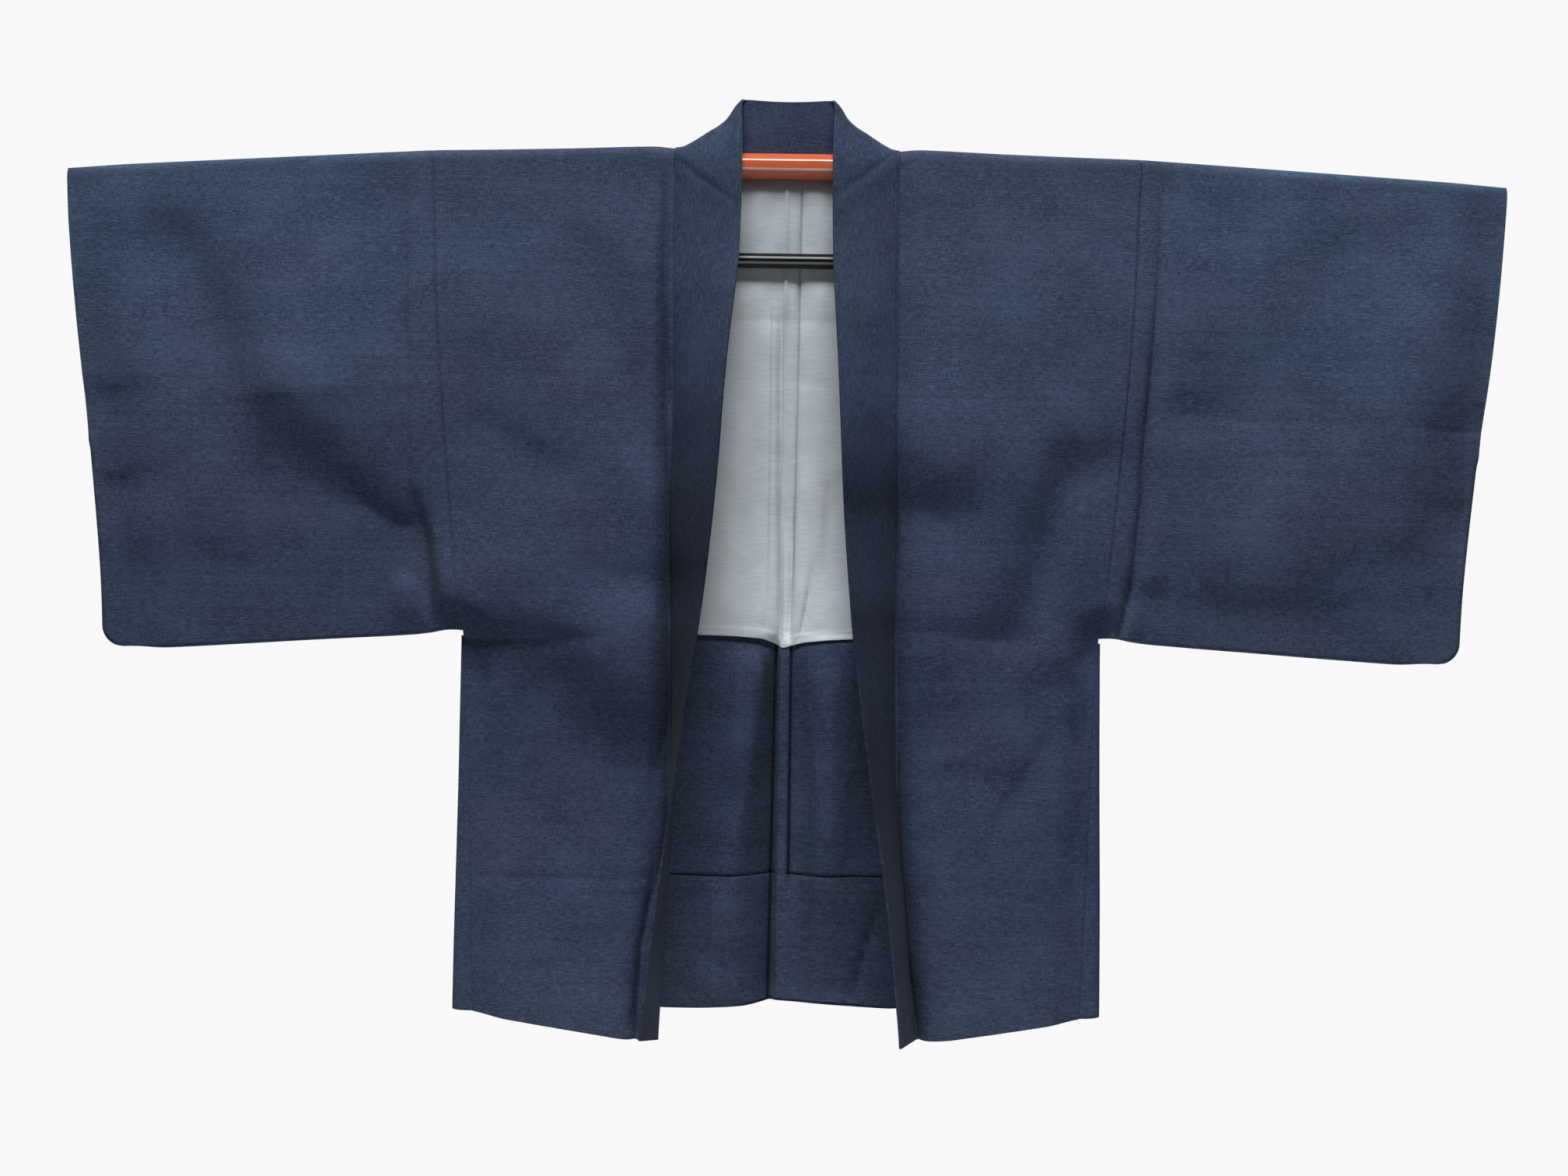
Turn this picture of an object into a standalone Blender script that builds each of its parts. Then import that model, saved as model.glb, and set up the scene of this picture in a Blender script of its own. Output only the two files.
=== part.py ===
"""A man's haori jacket hanging on a kimono hanger with two bars.

Metres, +Z up. The front of the jacket faces -Y, and left and right are the wearer's, so the left side is at +X.
The origin is the middle of the hanger's upper bar, on its top, where the bar is held.
Each cut piece of cloth is a wall of its own. The front and back of one side are one length of cloth, which is parted
here where it leaves the bar, into the front, the shoulder that lies over the bar, and the back, so that the hollow
between them stays open.
"""

import math
from collections import namedtuple

import bmesh
import bpy
from mathutils import Vector

# Walls and the gap at every seam.
SEAM_GAP = 0.0003
CLOTH = 0.0012
LINING = 0.0010
COLLAR = 0.0024

# The hanger: an eight-sided upper bar whose arms droop, and a straight rail for a belt under it.
BAR_HEIGHT = 0.0240
BAR_DEPTH = 0.0210
BAR_FACE = 0.0078  # the height of its upright front and back faces
BAR_RIDGE = 0.0040  # the width of its flat top and bottom
RAIL_HEIGHT = 0.0140
RAIL_DEPTH = 0.0110
RAIL_FACE = 0.0046
RAIL_RIDGE = 0.0030
RAIL_TOP = -0.0945
RAIL_HALF = 0.215
LINK_AT = 0.200
LINK_WIDTH = 0.014
LINK_DEPTH = 0.005
Bend = namedtuple("Bend", "x z")
ARM_BENDS = [Bend(0.180, 0.0), Bend(0.330, -0.0032), Bend(0.612, -0.0198)]  # each arm slides out of the bar's end

# The body, as distances from the centre and drops from the shoulder.
NECK_HALF = 0.105
ARMHOLE_TOP = 0.335
ARMHOLE_STRAIGHT = 0.019
ARMHOLE_CURVED = 0.0145
SIDE_TOP = 0.302
SIDE_HEM = 0.306
GUSSET_TOP = 0.0015
GUSSET_HEM = 0.0195
HEM_SIDE = -0.812
HEM_FRONT = -0.842
HEM_BACK = -0.815
HEM_BACK_LIFT = 0.008
HEM_LIFT_HALF = 0.045

# The depth of the hollow: the front and back hang either side of the bar and come together at the armpit.
FRONT_Y = -0.0127
BACK_Y = 0.0127
CREST = 0.0108  # how far below the top the cloth is upright again
ARMPIT_HALF = 0.0045
HEM_HALF = 0.0100
PINCH_FROM = 0.190

# The line of the shoulder and sleeve top, along the middle of the wall.
SHOULDER = [Bend(0.000, 0.0042), Bend(0.105, 0.0042), Bend(0.150, 0.0030), Bend(0.200, 0.0015),
            Bend(0.262, -0.0004), Bend(0.335, -0.0022), Bend(0.411, -0.0066), Bend(0.500, -0.0119),
            Bend(0.590, -0.0172), Bend(0.625, -0.0194), Bend(0.684, -0.0236)]

# Sleeves: the outer edge down the sleeve, the lower edge along it, and how open the layers hang.
Edge = namedtuple("Edge", "down x")
SLEEVE_EDGE = [Edge(0.00, 0.6820), Edge(0.15, 0.6800), Edge(0.30, 0.6745), Edge(0.45, 0.6670),
               Edge(0.60, 0.6590), Edge(0.75, 0.6515), Edge(0.90, 0.6450), Edge(1.00, 0.6425)]
SLEEVE_HEM = [Bend(0.300, -0.4560), Bend(0.330, -0.4605), Bend(0.400, -0.4665), Bend(0.500, -0.4725),
              Bend(0.620, -0.4795), Bend(0.645, -0.4805)]
Open = namedtuple("Open", "down half")
SLEEVE_OPEN = [Open(0.00, 0.0127), Open(0.07, 0.0127), Open(0.30, 0.0095), Open(0.60, 0.0078),
               Open(0.88, 0.0055), Open(1.00, 0.0032)]
CUFF_HALF = 0.0050
CUFF_DROP = 0.56  # the share of the outer edge that is left open for the hand
SLEEVE_CORNER = 0.022
ARMPIT = 0.5585  # the share of the body's drop at which the sleeve ends
GUSSET_START = 0.566
LINING_END = 0.566
TURNED_HEM = 0.842  # the share of the drop where the turned-up hem ends

NECK_DROP = 0.0132  # the share of the drop at the back neck seam

# The collar: one straight band, flat on the chest at the neck and turned further outward towards the hem.
BAND = 0.0625
BAND_LIFT = 0.006
Roll = namedtuple("Roll", "share seam turn")
ROLL = {
    "right": [Roll(0.000, 0.1050, 0), Roll(0.060, 0.1050, 4), Roll(0.113, 0.1050, 15), Roll(0.150, 0.1048, 24),
              Roll(0.215, 0.1044, 35), Roll(0.265, 0.1040, 41), Roll(0.360, 0.1036, 48), Roll(0.440, 0.1030, 56),
              Roll(0.550, 0.1016, 69), Roll(0.700, 0.1004, 87), Roll(0.830, 0.1040, 97), Roll(1.000, 0.1100, 104)],
    "left": [Roll(0.000, 0.1050, 0), Roll(0.060, 0.1052, 2), Roll(0.113, 0.1055, 9), Roll(0.150, 0.1058, 16),
             Roll(0.215, 0.1062, 24), Roll(0.265, 0.1065, 28), Roll(0.360, 0.1070, 34), Roll(0.440, 0.1072, 41),
             Roll(0.550, 0.1075, 51), Roll(0.700, 0.1100, 67), Roll(0.830, 0.1195, 74), Roll(1.000, 0.1340, 74)],
}
SEAM_BACK = 0.0045  # how far the front edge curls back beside the turned collar
SEAM_CURL = 0.020
# Around the shoulder point the band fans from lying on the chest to standing up behind the neck.
Fan = namedtuple("Fan", "round x y z sag")
FAN = [Fan(180, 0.0432, -0.0150, -0.0560, 0.0000), Fan(150, 0.0428, -0.0156, -0.0330, 0.0000),
       Fan(125, 0.0427, -0.0150, -0.0060, 0.0000), Fan(105, 0.0431, -0.0060, 0.0230, 0.0020),
       Fan(85, 0.0444, 0.0050, 0.0480, 0.0040), Fan(65, 0.0454, 0.0104, 0.0538, 0.0050),
       Fan(45, 0.0446, 0.0140, 0.0541, 0.0036), Fan(20, 0.0415, 0.0148, 0.0541, 0.0014),
       Fan(0, 0.0370, 0.0150, 0.0541, 0.0000)]
SLANT = 0.050  # how far the first cross lines under the shoulder slant down to the free edge
SLANT_FADES = 0.100
NECK_STEPS = [0.80, 0.55, 0.28, 0.0]

# The largest folds: soft ridges (height above 0) and troughs, each along a line on one face.
Fold = namedtuple("Fold", "x0 z0 x1 z1 width height")
FOLDS = {
    ("right", "front"): [
        Fold(0.520, -0.120, 0.375, -0.335, 0.034, -0.0055), Fold(0.352, -0.340, 0.334, -0.430, 0.016, -0.0020),
        Fold(0.585, -0.240, 0.430, -0.400, 0.038, 0.0035), Fold(0.640, -0.190, 0.590, -0.380, 0.030, -0.0030),
        Fold(0.352, -0.060, 0.344, -0.330, 0.009, -0.0022), Fold(0.118, -0.060, 0.113, -0.300, 0.006, -0.0024),
        Fold(0.285, -0.500, 0.200, -0.560, 0.026, 0.0030), Fold(0.270, -0.440, 0.170, -0.380, 0.030, -0.0028),
        Fold(0.230, -0.600, 0.270, -0.760, 0.034, -0.0026)],
    ("left", "front"): [
        Fold(0.351, -0.085, 0.346, -0.290, 0.010, -0.0042), Fold(0.344, -0.300, 0.330, -0.430, 0.012, -0.0024),
        Fold(0.365, -0.405, 0.590, -0.300, 0.034, 0.0036), Fold(0.470, -0.150, 0.440, -0.340, 0.040, -0.0032),
        Fold(0.630, -0.230, 0.600, -0.410, 0.030, -0.0028), Fold(0.280, -0.370, 0.190, -0.470, 0.030, -0.0034),
        Fold(0.230, -0.520, 0.180, -0.640, 0.034, 0.0028)],
    ("right", "back"): [
        Fold(0.520, -0.120, 0.360, -0.345, 0.036, 0.0040), Fold(0.352, -0.080, 0.342, -0.360, 0.012, 0.0020),
        Fold(0.270, -0.420, 0.170, -0.560, 0.034, 0.0030)],
    ("left", "back"): [
        Fold(0.351, -0.090, 0.343, -0.360, 0.012, 0.0034), Fold(0.470, -0.150, 0.440, -0.340, 0.040, 0.0032),
        Fold(0.260, -0.400, 0.160, -0.520, 0.034, 0.0028)],
}
FOLD_LIMIT = 0.0050  # where folds meet, the cloth moves no further than this
FOLD_CLEAR = (0.035, 0.090)  # folds fade out above these drops, where the cloth lies on the bar
CENTRE_FOLD = 0.014
CENTRE_FOLD_HALF = 0.032
BACK_SWAY = 0.0030
BACK_SWAY_WAVE = 0.105

# The grid: shares of the drop down the body, shares of the width across it, and degrees over the bar.
BODY_DROPS = [0.040, 0.075, 0.113, 0.150, 0.200, 0.255, 0.315, 0.375, 0.440, 0.505, ARMPIT, GUSSET_START,
              0.615, 0.670, 0.725, 0.785, TURNED_HEM, 0.895, 0.950, 1.0]
BODY_SHARES = [0.0, 0.035, 0.08, 0.15, 0.26, 0.40, 0.55, 0.70, 0.86, 1.0]
NECK_SHARES = [0.0, 0.14, 0.32, 0.58, 1.0]
SLEEVE_SHARES = [0.0, 0.03, 0.075, 0.13, 0.22, 0.34, 0.47, 0.60, 0.72, 0.84, 0.94, 1.0]
SLEEVE_LAST = [0.94, 0.975]  # extra shares of the sleeve's own drop, for its round corner
ROUND = [180, 157.5, 135, 112.5, 90, 67.5, 45, 22.5, 0]
BAND_SHARES = [0.0, 0.22, 0.46, 0.72, 1.0]
GUSSET_ROUND = [180, 150, 120, 90, 60, 30, 0]
SQUARENESS = 0.8  # below 1, rounds are fuller than an ellipse

SIGN = {"right": -1, "left": 1}
NAVY = (0.036, 0.050, 0.082, 1.0)
NAVY_COLLAR = (0.030, 0.043, 0.070, 1.0)
GREY = (0.52, 0.55, 0.58, 1.0)
ORANGE = (0.56, 0.13, 0.055, 1.0)
BLACK = (0.012, 0.012, 0.014, 1.0)


def smooth(t):
    """Goes from 0 to 1 with flat ends."""
    t = min(1.0, max(0.0, t))
    return t * t * (3 - 2 * t)


def mix(a, b, t):
    return a + (b - a) * t


def look_up(table, at, column):
    """Reads a column of a table between its rows, which are sorted by their first column."""
    if at <= table[0][0]:
        return getattr(table[0], column)
    for low, high in zip(table, table[1:]):
        if at <= high[0]:
            share = (at - low[0]) / (high[0] - low[0])
            return mix(getattr(low, column), getattr(high, column), share)
    return getattr(table[-1], column)


def round_off(degrees):
    """A point on a full round: how far across from -1 at 180 degrees to 1 at 0, and how far up."""
    c, s = math.cos(math.radians(degrees)), math.sin(math.radians(degrees))
    return math.copysign(abs(c) ** SQUARENESS, c), max(0.0, s) ** SQUARENESS


def shoulder_z(x):
    return look_up(SHOULDER, x, "z")


def side_x(drop):
    return mix(SIDE_TOP, SIDE_HEM, smooth((drop - ARMPIT) / (1 - ARMPIT)))


def gusset_width(drop):
    return mix(GUSSET_TOP, GUSSET_HEM, max(0.0, drop - ARMPIT) / (1 - ARMPIT))


def outer_x(drop):
    """The body's outer seam: the armhole, and below it the seam with the gusset."""
    if drop <= ARMPIT:
        t = drop / ARMPIT
        return ARMHOLE_TOP - ARMHOLE_STRAIGHT * t - ARMHOLE_CURVED * t**2.5
    return side_x(drop) - gusset_width(drop)


def side_half(drop):
    """Half the hollow at the body's outer seam."""
    if drop <= ARMPIT:
        return mix(-FRONT_Y, ARMPIT_HALF, smooth((drop - 0.06) / (ARMPIT - 0.06)))
    return mix(ARMPIT_HALF, HEM_HALF, smooth((drop - ARMPIT) / (1 - ARMPIT)))


def fold_height(side, face, x, z):
    """How far the folds push the cloth outward at a place."""
    total = 0.0
    for fold in FOLDS[(side, face)]:
        start = Vector((fold.x0, fold.z0))
        along = Vector((fold.x1, fold.z1)) - start
        place = Vector((x, z)) - start
        t = min(1.0, max(0.0, place.dot(along) / along.length_squared))
        away = (place - along * t).length
        total += fold.height * math.exp(-((away / fold.width) ** 2))
    total = FOLD_LIMIT * math.tanh(total / FOLD_LIMIT)
    return total * smooth((-z - FOLD_CLEAR[0]) / (FOLD_CLEAR[1] - FOLD_CLEAR[0]))


def front_hem(x):
    return mix(HEM_FRONT, HEM_SIDE, (x - 0.130) / (SIDE_TOP - 0.130))


def back_hem(x):
    return HEM_BACK + HEM_BACK_LIFT * math.exp(-((x / HEM_LIFT_HALF) ** 2))


def pinch(x, drop):
    return smooth((x - PINCH_FROM) / (outer_x(drop) - PINCH_FROM))


def front_y(side, x, drop, z):
    """The middle of the front wall."""
    y = -mix(-FRONT_Y, side_half(drop), pinch(x, drop))
    curl = math.exp(-(((x - look_up(ROLL[side], drop, "seam")) / SEAM_CURL) ** 2))
    y += SEAM_BACK * curl * smooth((drop - 0.15) / 0.35)
    return y - fold_height(side, "front", x, z)


def back_y(side, x, drop, z):
    """The middle of the back wall: the centre seam hangs in a fold that deepens to the hem."""
    y = mix(BACK_Y, side_half(drop), pinch(x, drop))
    y += CENTRE_FOLD * math.exp(-((x / CENTRE_FOLD_HALF) ** 2)) * smooth((drop - 0.45) / 0.6) ** 1.3
    sway = 1 - math.cos(2 * math.pi * x / BACK_SWAY_WAVE)
    y += BACK_SWAY * sway * smooth((drop - 0.3) / 0.7) * (1 - pinch(x, drop))
    return y + fold_height(side, "back", x, z)


def over_bar(side, x, drop_front, drop_back, degrees):
    """A point on the crest of the cloth, from the front at 180 degrees to the back at 0."""
    top = shoulder_z(x)
    low = top - CREST
    front = front_y(side, x, drop_front, low)
    back = back_y(side, x, drop_back, low)
    across, up = round_off(degrees)
    return Vector((x, mix(front, back, (across + 1) / 2), low + CREST * up))


def body_point(side, share, drop, face):
    """A point on the front or back wall of a body panel, a share of the way from its inner to its outer seam."""
    inner = look_up(ROLL[side], drop, "seam") if face == "front" else NECK_HALF
    x = mix(inner, outer_x(drop) - SEAM_GAP / 2, share)
    top = shoulder_z(x)
    hem = front_hem(x) if face == "front" else back_hem(x)
    z = mix(top, hem, drop)
    y = (front_y if face == "front" else back_y)(side, x, drop, z)
    return Vector((x, y, z))


def neck_point(side, share, drop):
    """A point on the back wall between the centre seam and the shoulder's neck point."""
    x = mix(SEAM_GAP / 2, NECK_HALF, share)
    z = mix(shoulder_z(NECK_HALF), back_hem(x), drop)
    return Vector((x, back_y(side, x, drop, z), z))


def crest_point(side, share, degrees, nudge=0.0):
    """A point where the body lies over the bar. nudge raises it, clear of where the cloth is parted."""
    x = mix(NECK_HALF, ARMHOLE_TOP - SEAM_GAP / 2, share)
    return over_bar(side, x, 0.0, 0.0, degrees) + Vector((0, 0, nudge))


def front_grid(side):
    """The front panel from its hem up to where it reaches the bar."""
    grid = [[body_point(side, share, drop, "front") for share in BODY_SHARES] for drop in reversed(BODY_DROPS)]
    grid.append([crest_point(side, share, 180, -SEAM_GAP / 2) for share in BODY_SHARES])
    return grid


def shoulder_grid(side):
    """The shoulder, from the top of the front over the bar to the top of the back."""
    grid = []
    for degrees in ROUND:
        nudge = SEAM_GAP / 2 if degrees in (180, 0) else 0.0
        grid.append([crest_point(side, share, degrees, nudge) for share in BODY_SHARES])
    return grid


def back_grid(side):
    """The back panel from the bar to its hem. Behind the neck it reaches the centre seam."""
    inner = NECK_SHARES[:-1]
    neck = [neck_point(side, share, NECK_DROP) for share in inner]
    grid = [neck + [crest_point(side, share, 0, -SEAM_GAP / 2) for share in BODY_SHARES]]
    for drop in BODY_DROPS:
        neck = [neck_point(side, share, drop) for share in inner]
        grid.append(neck + [body_point(side, share, drop, "back") for share in BODY_SHARES])
    return grid


def clear_scene():
    for thing in list(bpy.data.objects):
        bpy.data.objects.remove(thing)


def material(name, colour, roughness, metallic=0.0):
    made = bpy.data.materials.new(name)
    made.use_nodes = True
    shader = made.node_tree.nodes["Principled BSDF"]
    shader.inputs["Base Color"].default_value = colour
    shader.inputs["Roughness"].default_value = roughness
    shader.inputs["Metallic"].default_value = metallic
    return made


def sheet(name, side, grid, closed, thickness, finish, extra_faces=()):
    """A wall of cloth through a grid of points. closed joins the last row to the first. extra_faces lists more
    faces as grid places."""
    mesh = bmesh.new()
    vertices = {}
    for r, row in enumerate(grid):
        for c, point in enumerate(row):
            vertices[(r, c)] = mesh.verts.new((SIGN[side] * point.x, point.y, point.z))
    rows = len(grid)
    for r in range(rows if closed else rows - 1):
        for c in range(len(grid[0]) - 1):
            corners = [(r, c), ((r + 1) % rows, c), ((r + 1) % rows, c + 1), (r, c + 1)]
            mesh.faces.new([vertices[corner] for corner in corners])
    for places in extra_faces:
        mesh.faces.new([vertices[place] for place in places])
    bmesh.ops.recalc_face_normals(mesh, faces=mesh.faces)
    return thicken(name, mesh, thickness, finish)


def thicken(name, mesh, thickness, finish, even=True):
    """Turns a flat mesh into an object with a wall around its middle surface."""
    data = bpy.data.meshes.new(name)
    mesh.to_mesh(data)
    mesh.free()
    piece = bpy.data.objects.new(name, data)
    bpy.context.scene.collection.objects.link(piece)
    data.materials.append(finish)
    wall = piece.modifiers.new("wall", "SOLIDIFY")
    wall.thickness = thickness
    wall.offset = 0.0
    wall.use_even_offset = even
    wall.use_rim = True
    return piece


def make_body(side, finish):
    """The length of cloth of one side: front, shoulder and back."""
    sheet(f"front_{side}", side, front_grid(side), False, CLOTH, finish)
    sheet(f"shoulder_{side}", side, shoulder_grid(side), False, CLOTH, finish)
    sheet(f"back_{side}", side, back_grid(side), False, CLOTH, finish)


def sleeve_half(share, down, drop):
    """Half the hollow of a sleeve: as open as the body at the armhole, and flatter towards the hand."""
    inside = look_up(SLEEVE_OPEN, down, "half")
    half = mix(side_half(drop), inside, smooth(share / 0.3))
    return mix(half, min(half, CUFF_HALF), smooth((share - 0.84) / 0.16))


def sleeve_x(share, down):
    inner = outer_x(down * ARMPIT) + SEAM_GAP / 2
    x = mix(inner, look_up(SLEEVE_EDGE, down, "x"), share)
    top, low = shoulder_z(x), look_up(SLEEVE_HEM, x, "z")
    up = (1 - down) * (top - low)
    if up < SLEEVE_CORNER:
        cut = SLEEVE_CORNER - math.sqrt(SLEEVE_CORNER**2 - (SLEEVE_CORNER - up) ** 2)
        x -= cut * smooth((share - 0.80) / 0.20)
    return x


def sleeve_z(x, down):
    """The height at a share of the sleeve's drop. At the armhole it is the body's own height."""
    body = mix(shoulder_z(x), front_hem(x), down * ARMPIT)
    free = mix(shoulder_z(x), look_up(SLEEVE_HEM, x, "z"), down)
    return mix(body, free, smooth((x - SIDE_TOP) / 0.05))


def sleeve_point(side, share, down, face):
    x = sleeve_x(share, down)
    z = sleeve_z(x, down)
    half = sleeve_half(share, down, down * ARMPIT)
    push = fold_height(side, face, x, z) * (1 - 0.6 * smooth((down - 0.9) / 0.1))
    if face == "front":
        return Vector((x, -half - push, z))
    back = mix(side_half(down * ARMPIT) + BACK_Y + FRONT_Y, half, smooth(share / 0.2)) if down < 0.1 else half
    return Vector((x, back + push, z))


def make_sleeve(side, finish):
    """One length of cloth folded at the top, sewn along the bottom and up the outer edge to the cuff."""
    downs = [drop / ARMPIT for drop in BODY_DROPS if drop < ARMPIT] + SLEEVE_LAST + [1.0]
    grid = []
    for down in reversed(downs):
        grid.append([sleeve_point(side, share, down, "front") for share in SLEEVE_SHARES])
    for degrees in ROUND:
        row = []
        for share in SLEEVE_SHARES:
            x = sleeve_x(share, 0.0)
            low = shoulder_z(x) - CREST
            across, up = round_off(degrees)
            half = sleeve_half(share, 0.0, 0.0)
            back = mix(BACK_Y, half, smooth(share / 0.2))
            row.append(Vector((x, mix(-half, back, (across + 1) / 2), low + CREST * up)))
        grid.append(row)
    for down in downs:
        grid.append([sleeve_point(side, share, down, "back") for share in SLEEVE_SHARES])
    fold = []
    for share in SLEEVE_SHARES:
        front = sleeve_point(side, share, 1.0, "front")
        fold.append(Vector((front.x, 0.0, front.z - 0.0018)))
    grid.append(fold)
    rows, last = len(grid), len(SLEEVE_SHARES) - 1
    sewn = [r for r, down in enumerate(reversed(downs)) if down > CUFF_DROP]
    seam = []
    for low, high in zip(sewn, sewn[1:]):
        seam.append([(low, last), (rows - 2 - low, last), (rows - 2 - high, last), (high, last)])
    seam.append([(rows - 1, last), (rows - 2, last), (0, last)])
    return sheet(f"sleeve_{side}", side, grid, True, CLOTH, finish, seam)


def make_gusset(side, finish):
    """The narrow wedge between front and back from the armpit to the hem, bent round the side."""
    drops = [drop for drop in BODY_DROPS if drop >= GUSSET_START]
    grid = []
    for drop in drops:
        front = body_point(side, 1.0, drop, "front")
        back = body_point(side, 1.0, drop, "back")
        row = []
        for degrees in GUSSET_ROUND:
            across, out = round_off(degrees)
            x = front.x + SEAM_GAP + (gusset_width(drop) - SEAM_GAP) * out
            t = (across + 1) / 2
            row.append(Vector((x, mix(front.y, back.y, t), mix(front.z, back.z, t))))
        grid.append(row)
    return sheet(f"gusset_{side}", side, grid, False, CLOTH, finish)


def make_on_back(name, side, drops, wall, inset, finish):
    """A layer that lies on the inside of the back wall, made from that wall's own points."""
    step = CLOTH / 2 + SEAM_GAP + wall / 2
    grid = []
    for drop in drops:
        row = [neck_point(side, share, drop) for share in NECK_SHARES[:-1]]
        row += [body_point(side, share, drop, "back") for share in BODY_SHARES]
        row[-1] = row[-1] + (row[-2] - row[-1]).normalized() * inset
        grid.append([point - Vector((0, step, 0)) for point in row])
    return sheet(name, side, grid, False, wall, finish)


def band_base(side, drop):
    """Where the collar leaves the front's inner edge, clear of it however far the band is turned."""
    seam = body_point(side, 0.0, drop, "front")
    turn = math.radians(look_up(ROLL[side], drop, "turn"))
    return seam - Vector((SEAM_GAP + COLLAR / 2 * math.sin(min(turn, math.pi / 2)) + 0.0001, 0, 0)), turn


def collar_half(side):
    """The band's cross lines on one side, as seam point, free edge and sag, from the front hem to the centre back."""
    lines = []
    for drop in reversed(BODY_DROPS):
        base, turn = band_base(side, drop)
        edge = base + Vector((-BAND * math.cos(turn), -BAND * math.sin(turn), 0))
        edge.z += BAND_LIFT * smooth((drop - 0.8) / 0.2) - SLANT * math.exp(-drop / SLANT_FADES)
        edge = edge.lerp(Vector((FAN[0].x, FAN[0].y, edge.z)), math.exp(-drop / SLANT_FADES * 2))
        lines.append((base, edge, 0.0))
    for fan in FAN:
        seam = over_bar(side, NECK_HALF, 0.0, 0.0, fan.round)
        seam += Vector((-COLLAR / 2 - SEAM_GAP, COLLAR / 2 * -round_off(180 - fan.round)[0], COLLAR / 2))
        lines.append((seam, Vector((fan.x, fan.y, fan.z)), fan.sag))
    for share in NECK_STEPS:
        seam = neck_point(side, share, NECK_DROP)
        seam.x = NECK_HALF * share
        seam.z += SEAM_GAP
        lines.append((seam, Vector((FAN[-1].x * share, FAN[-1].y, FAN[-1].z)), 0.0))
    return lines


def make_collar(finish):
    """One band sewn from hem to hem around the neck."""
    mesh = bmesh.new()
    rows = []
    for side, lines in (("right", collar_half("right")), ("left", list(reversed(collar_half("left")))[1:])):
        for seam, edge, sag in lines:
            across = edge - seam
            down = Vector((-across.z, 0, across.x)).normalized()
            row = []
            for share in BAND_SHARES:
                point = seam.lerp(edge, share) + down * sag * math.sin(math.pi * share)
                row.append(mesh.verts.new((SIGN[side] * point.x, point.y, point.z)))
            rows.append(row)
    for low, high in zip(rows, rows[1:]):
        for c in range(len(BAND_SHARES) - 1):
            mesh.faces.new([low[c], high[c], high[c + 1], low[c + 1]])
    bmesh.ops.recalc_face_normals(mesh, faces=mesh.faces)
    return thicken("collar", mesh, COLLAR, finish, even=False)


def eight_sided(height, depth, face, ridge):
    """The corners of a bar's section, as (y, z) from its centre."""
    tall, wide = height / 2, depth / 2
    return [(-wide, -face / 2), (-wide, face / 2), (-ridge / 2, tall), (ridge / 2, tall),
            (wide, face / 2), (wide, -face / 2), (ridge / 2, -tall), (-ridge / 2, -tall)]


def make_bar(name, section, path, drop, finish):
    """A solid bar: the section carried along the path."""
    mesh = bmesh.new()
    rings = [[mesh.verts.new((bend.x, y, bend.z - drop + z)) for y, z in section] for bend in path]
    for low, high in zip(rings, rings[1:]):
        for k in range(len(section)):
            n = (k + 1) % len(section)
            mesh.faces.new([low[k], low[n], high[n], high[k]])
    mesh.faces.new(rings[0])
    mesh.faces.new(rings[-1])
    bmesh.ops.recalc_face_normals(mesh, faces=mesh.faces)
    data = bpy.data.meshes.new(name)
    mesh.to_mesh(data)
    mesh.free()
    piece = bpy.data.objects.new(name, data)
    bpy.context.scene.collection.objects.link(piece)
    data.materials.append(finish)
    return piece


def make_link(side, finish):
    """The strip that carries the rail under the bar."""
    top = look_up(ARM_BENDS, LINK_AT + LINK_WIDTH / 2, "z") - BAR_HEIGHT - SEAM_GAP
    low = RAIL_TOP + SEAM_GAP
    bpy.ops.mesh.primitive_cube_add(size=1.0, location=(SIGN[side] * LINK_AT, 0.0, (top + low) / 2))
    link = bpy.context.object
    link.name = f"hanger_link_{side}"
    link.data.transform(((LINK_WIDTH, 0, 0, 0), (0, LINK_DEPTH, 0, 0), (0, 0, top - low, 0), (0, 0, 0, 1)))
    link.data.materials.append(finish)
    return link


def main():
    clear_scene()
    navy = material("navy cloth", NAVY, 0.85)
    band = material("navy collar cloth", NAVY_COLLAR, 0.85)
    grey = material("grey lining", GREY, 0.45)
    orange = material("orange plastic", ORANGE, 0.3)
    black = material("black plastic", BLACK, 0.3)
    lining_drops = [NECK_DROP + 0.003] + [drop for drop in BODY_DROPS if drop <= LINING_END]
    hem_drops = [drop for drop in BODY_DROPS if TURNED_HEM <= drop < 1.0] + [0.997]
    bar = eight_sided(BAR_HEIGHT, BAR_DEPTH, BAR_FACE, BAR_RIDGE)
    rail = eight_sided(RAIL_HEIGHT, RAIL_DEPTH, RAIL_FACE, RAIL_RIDGE)
    end = ARM_BENDS[0].x
    for side in SIGN:
        make_body(side, navy)
        make_sleeve(side, navy)
        make_gusset(side, navy)
        make_on_back(f"lining_{side}", side, lining_drops, LINING, 0.004, grey)
        make_on_back(f"turned_hem_{side}", side, hem_drops, LINING, 0.004, navy)
        make_link(side, black)
        arm = [Bend(SIGN[side] * max(bend.x, end + SEAM_GAP), bend.z) for bend in ARM_BENDS]
        make_bar(f"hanger_arm_{side}", bar, arm, BAR_HEIGHT / 2, orange)
    make_collar(band)
    make_bar("hanger_bar", bar, [Bend(-end, 0.0), Bend(end, 0.0)], BAR_HEIGHT / 2, orange)
    make_bar("hanger_rail", rail, [Bend(-RAIL_HALF, RAIL_TOP), Bend(RAIL_HALF, RAIL_TOP)], RAIL_HEIGHT / 2, black)


main()
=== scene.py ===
"""The looks of a man's haori jacket that hangs on a kimono hanger with two bars.

Metres, +Z up. The front of the jacket faces -Y. Left and right are the wearer's, so the left side is at +X.
Each cut piece of cloth is one sheet, placed by its tailor's measures and by the folds it hangs in.
"""

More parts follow.
